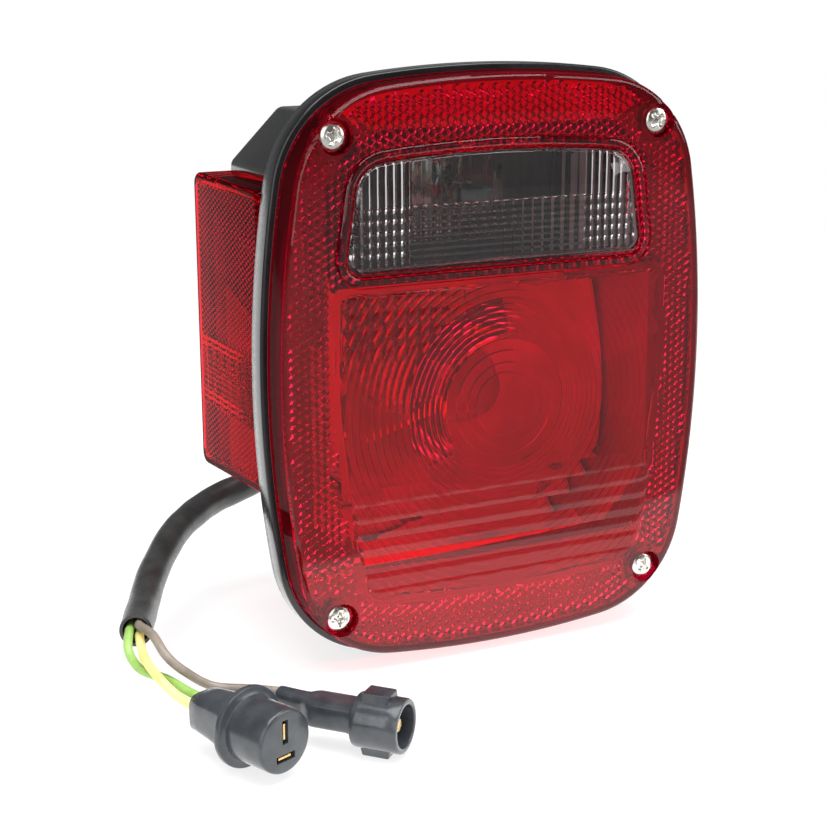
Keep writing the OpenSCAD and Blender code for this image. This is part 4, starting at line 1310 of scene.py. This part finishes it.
def build_floor():
    """A pale floor that fades away from the lamp. What the lamp's lens and metal see of it glows,
    except well in front of the lamp and far to its left."""
    m = blank(bpy.data.materials, "pale_floor")
    place = add(m, "TexCoord", output="Object")
    axes = add_node(m, "SeparateXYZ", {"Vector": place}).outputs
    slant = calc(m, "MULTIPLY_ADD", axes["Y"], 0.5, axes["X"])
    near = calc(m, "MULTIPLY", span(m, slant, -0.38, -0.28), span(m, axes["Y"], -0.207, -0.193))
    seen = add(m, "LightPath", output="Is Camera Ray")
    glow = mix_values(m, seen, span(m, near, 0, 1, 0.05, 1.4), 0.74)
    diffuse = add(m, "BsdfDiffuse", {"Color": (0.30, 0.30, 0.30, 1)})
    both = add(m, "AddShader", {0: diffuse, 1: add(m, "Emission", {"Strength": glow})})
    away = add(m, "VectorMath", {0: place}, "Value", operation="LENGTH")
    gone = calc(m, "MULTIPLY", span(m, away, 0.28, 0.6), seen)
    add_node(m, "OutputMaterial", {"Surface": mix_shaders(m, gone, both, add(m, "BsdfTransparent"))})
    size = 4.0
    z = cad_bounds[0][2] - 0.0004
    mesh = bpy.data.meshes.new("studio_floor")
    corners = [(-size, -size, z), (size, -size, z), (size, size, z), (-size, size, z)]
    mesh.from_pydata(corners, [], [(0, 1, 2, 3)])
    mesh.materials.append(m)
    floor = bpy.data.objects.new("studio_floor", mesh)
    bpy.context.scene.collection.objects.link(floor)


def build_world():
    """White to the camera; to everything else, a low white backdrop behind the lamp in a dim room."""
    world = blank(bpy.data.worlds, "studio")
    axes = add_node(world, "SeparateXYZ", {"Vector": add(world, "TexCoord", output="Generated")}).outputs
    behind = span(world, axes["Y"], 0.35, 0.75)
    low = span(world, axes["Z"], 0.42, 0.10)
    room = span(world, calc(world, "MULTIPLY", behind, low), 0, 1, 0.10, 0.28)
    ray = add_node(world, "LightPath").outputs
    fill = mix_values(world, ray["Is Diffuse Ray"], room, 0.6)
    strength = mix_values(world, ray["Is Camera Ray"], fill, 1.0)
    light = add(world, "Background", {"Color": (1, 1, 1, 1), "Strength": strength})
    add_node(world, "OutputWorld", {"Surface": light})
    bpy.context.scene.world = world


def softbox(name, place, aim, size, power):
    """A soft light that isn't seen through the lens, so that its prisms don't throw it back at the camera."""
    light = bpy.data.lights.new(name, "AREA")
    light.shape = "RECTANGLE"
    light.size, light.size_y = size
    light.energy = power
    lamp = bpy.data.objects.new(name, light)
    bpy.context.scene.collection.objects.link(lamp)
    lamp.location = place
    lamp.rotation_euler = (Vector(aim) - Vector(place)).to_track_quat("-Z", "Y").to_euler()
    lamp.visible_transmission = False


def build_lights():
    softbox("overhead", (0.0, -0.35, 1.05), (0, -0.05, 0), (1.3, 0.9), 22)
    softbox("left", (-1.2, -0.5, 0.5), (0, -0.05, 0), (0.25, 1.0), 3.2)
    softbox("right", (1.1, -0.8, 0.45), (0, -0.05, 0), (0.7, 0.9), 8)
    softbox("front", (-0.75, -1.5, 0.5), (0, -0.05, 0), (1.2, 1.2), 9)


def build_camera():
    """Looks down on the lamp's front from its left, at the reference view's angle and distance."""
    azimuth, elevation, roll = np.radians([-26.08, 14.75, -0.136])
    aim = Vector((0.0079, 0.0010, -0.0370))
    distance = 0.690
    run = math.cos(elevation)
    back = Vector((math.sin(azimuth) * run, -math.cos(azimuth) * run, math.sin(elevation)))
    data = bpy.data.cameras.new("camera")
    data.lens = 76.36
    data.sensor_width = 36
    camera = bpy.data.objects.new("camera", data)
    bpy.context.scene.collection.objects.link(camera)
    turn = (-back).to_track_quat("-Z", "Y").to_matrix().to_4x4()
    camera.matrix_world = Matrix.Translation(aim + distance * back) @ turn @ Matrix.Rotation(roll, 4, "Z")
    bpy.context.scene.camera = camera


def set_scene():
    scene = bpy.context.scene
    scene.view_settings.view_transform = "Standard"
    scene.cycles.max_bounces = 16
    scene.cycles.transmission_bounces = 16
    scene.cycles.transparent_max_bounces = 16
    scene.cycles.glossy_bounces = 8


dress_cad_nodes()
build_red_lens()
build_clear_window()
build_side_marker()
build_housing()
build_gasket()
for screw_place, screw_turn in zip(SCREWS, (22, 55, 8, 38)):
    build_screw(screw_place, screw_turn)
build_studs()
build_grommet()
build_bulb_glass("stop_tail_envelope", "stop_tail_bulb_glass", "stop_tail_bulb", STOP_Z)
build_bulb_glass("backup_envelope", "backup_bulb_glass", "backup_bulb", BACKUP_Z)
build_sleeve()
build_wires()
build_spring("stop_tail_spring", STOP_Z)
build_spring("backup_spring", BACKUP_Z)
build_two_pole_plug()
build_plug_blades()
build_one_pole_plug()
build_floor()
build_world()
build_lights()
build_camera()
set_scene()
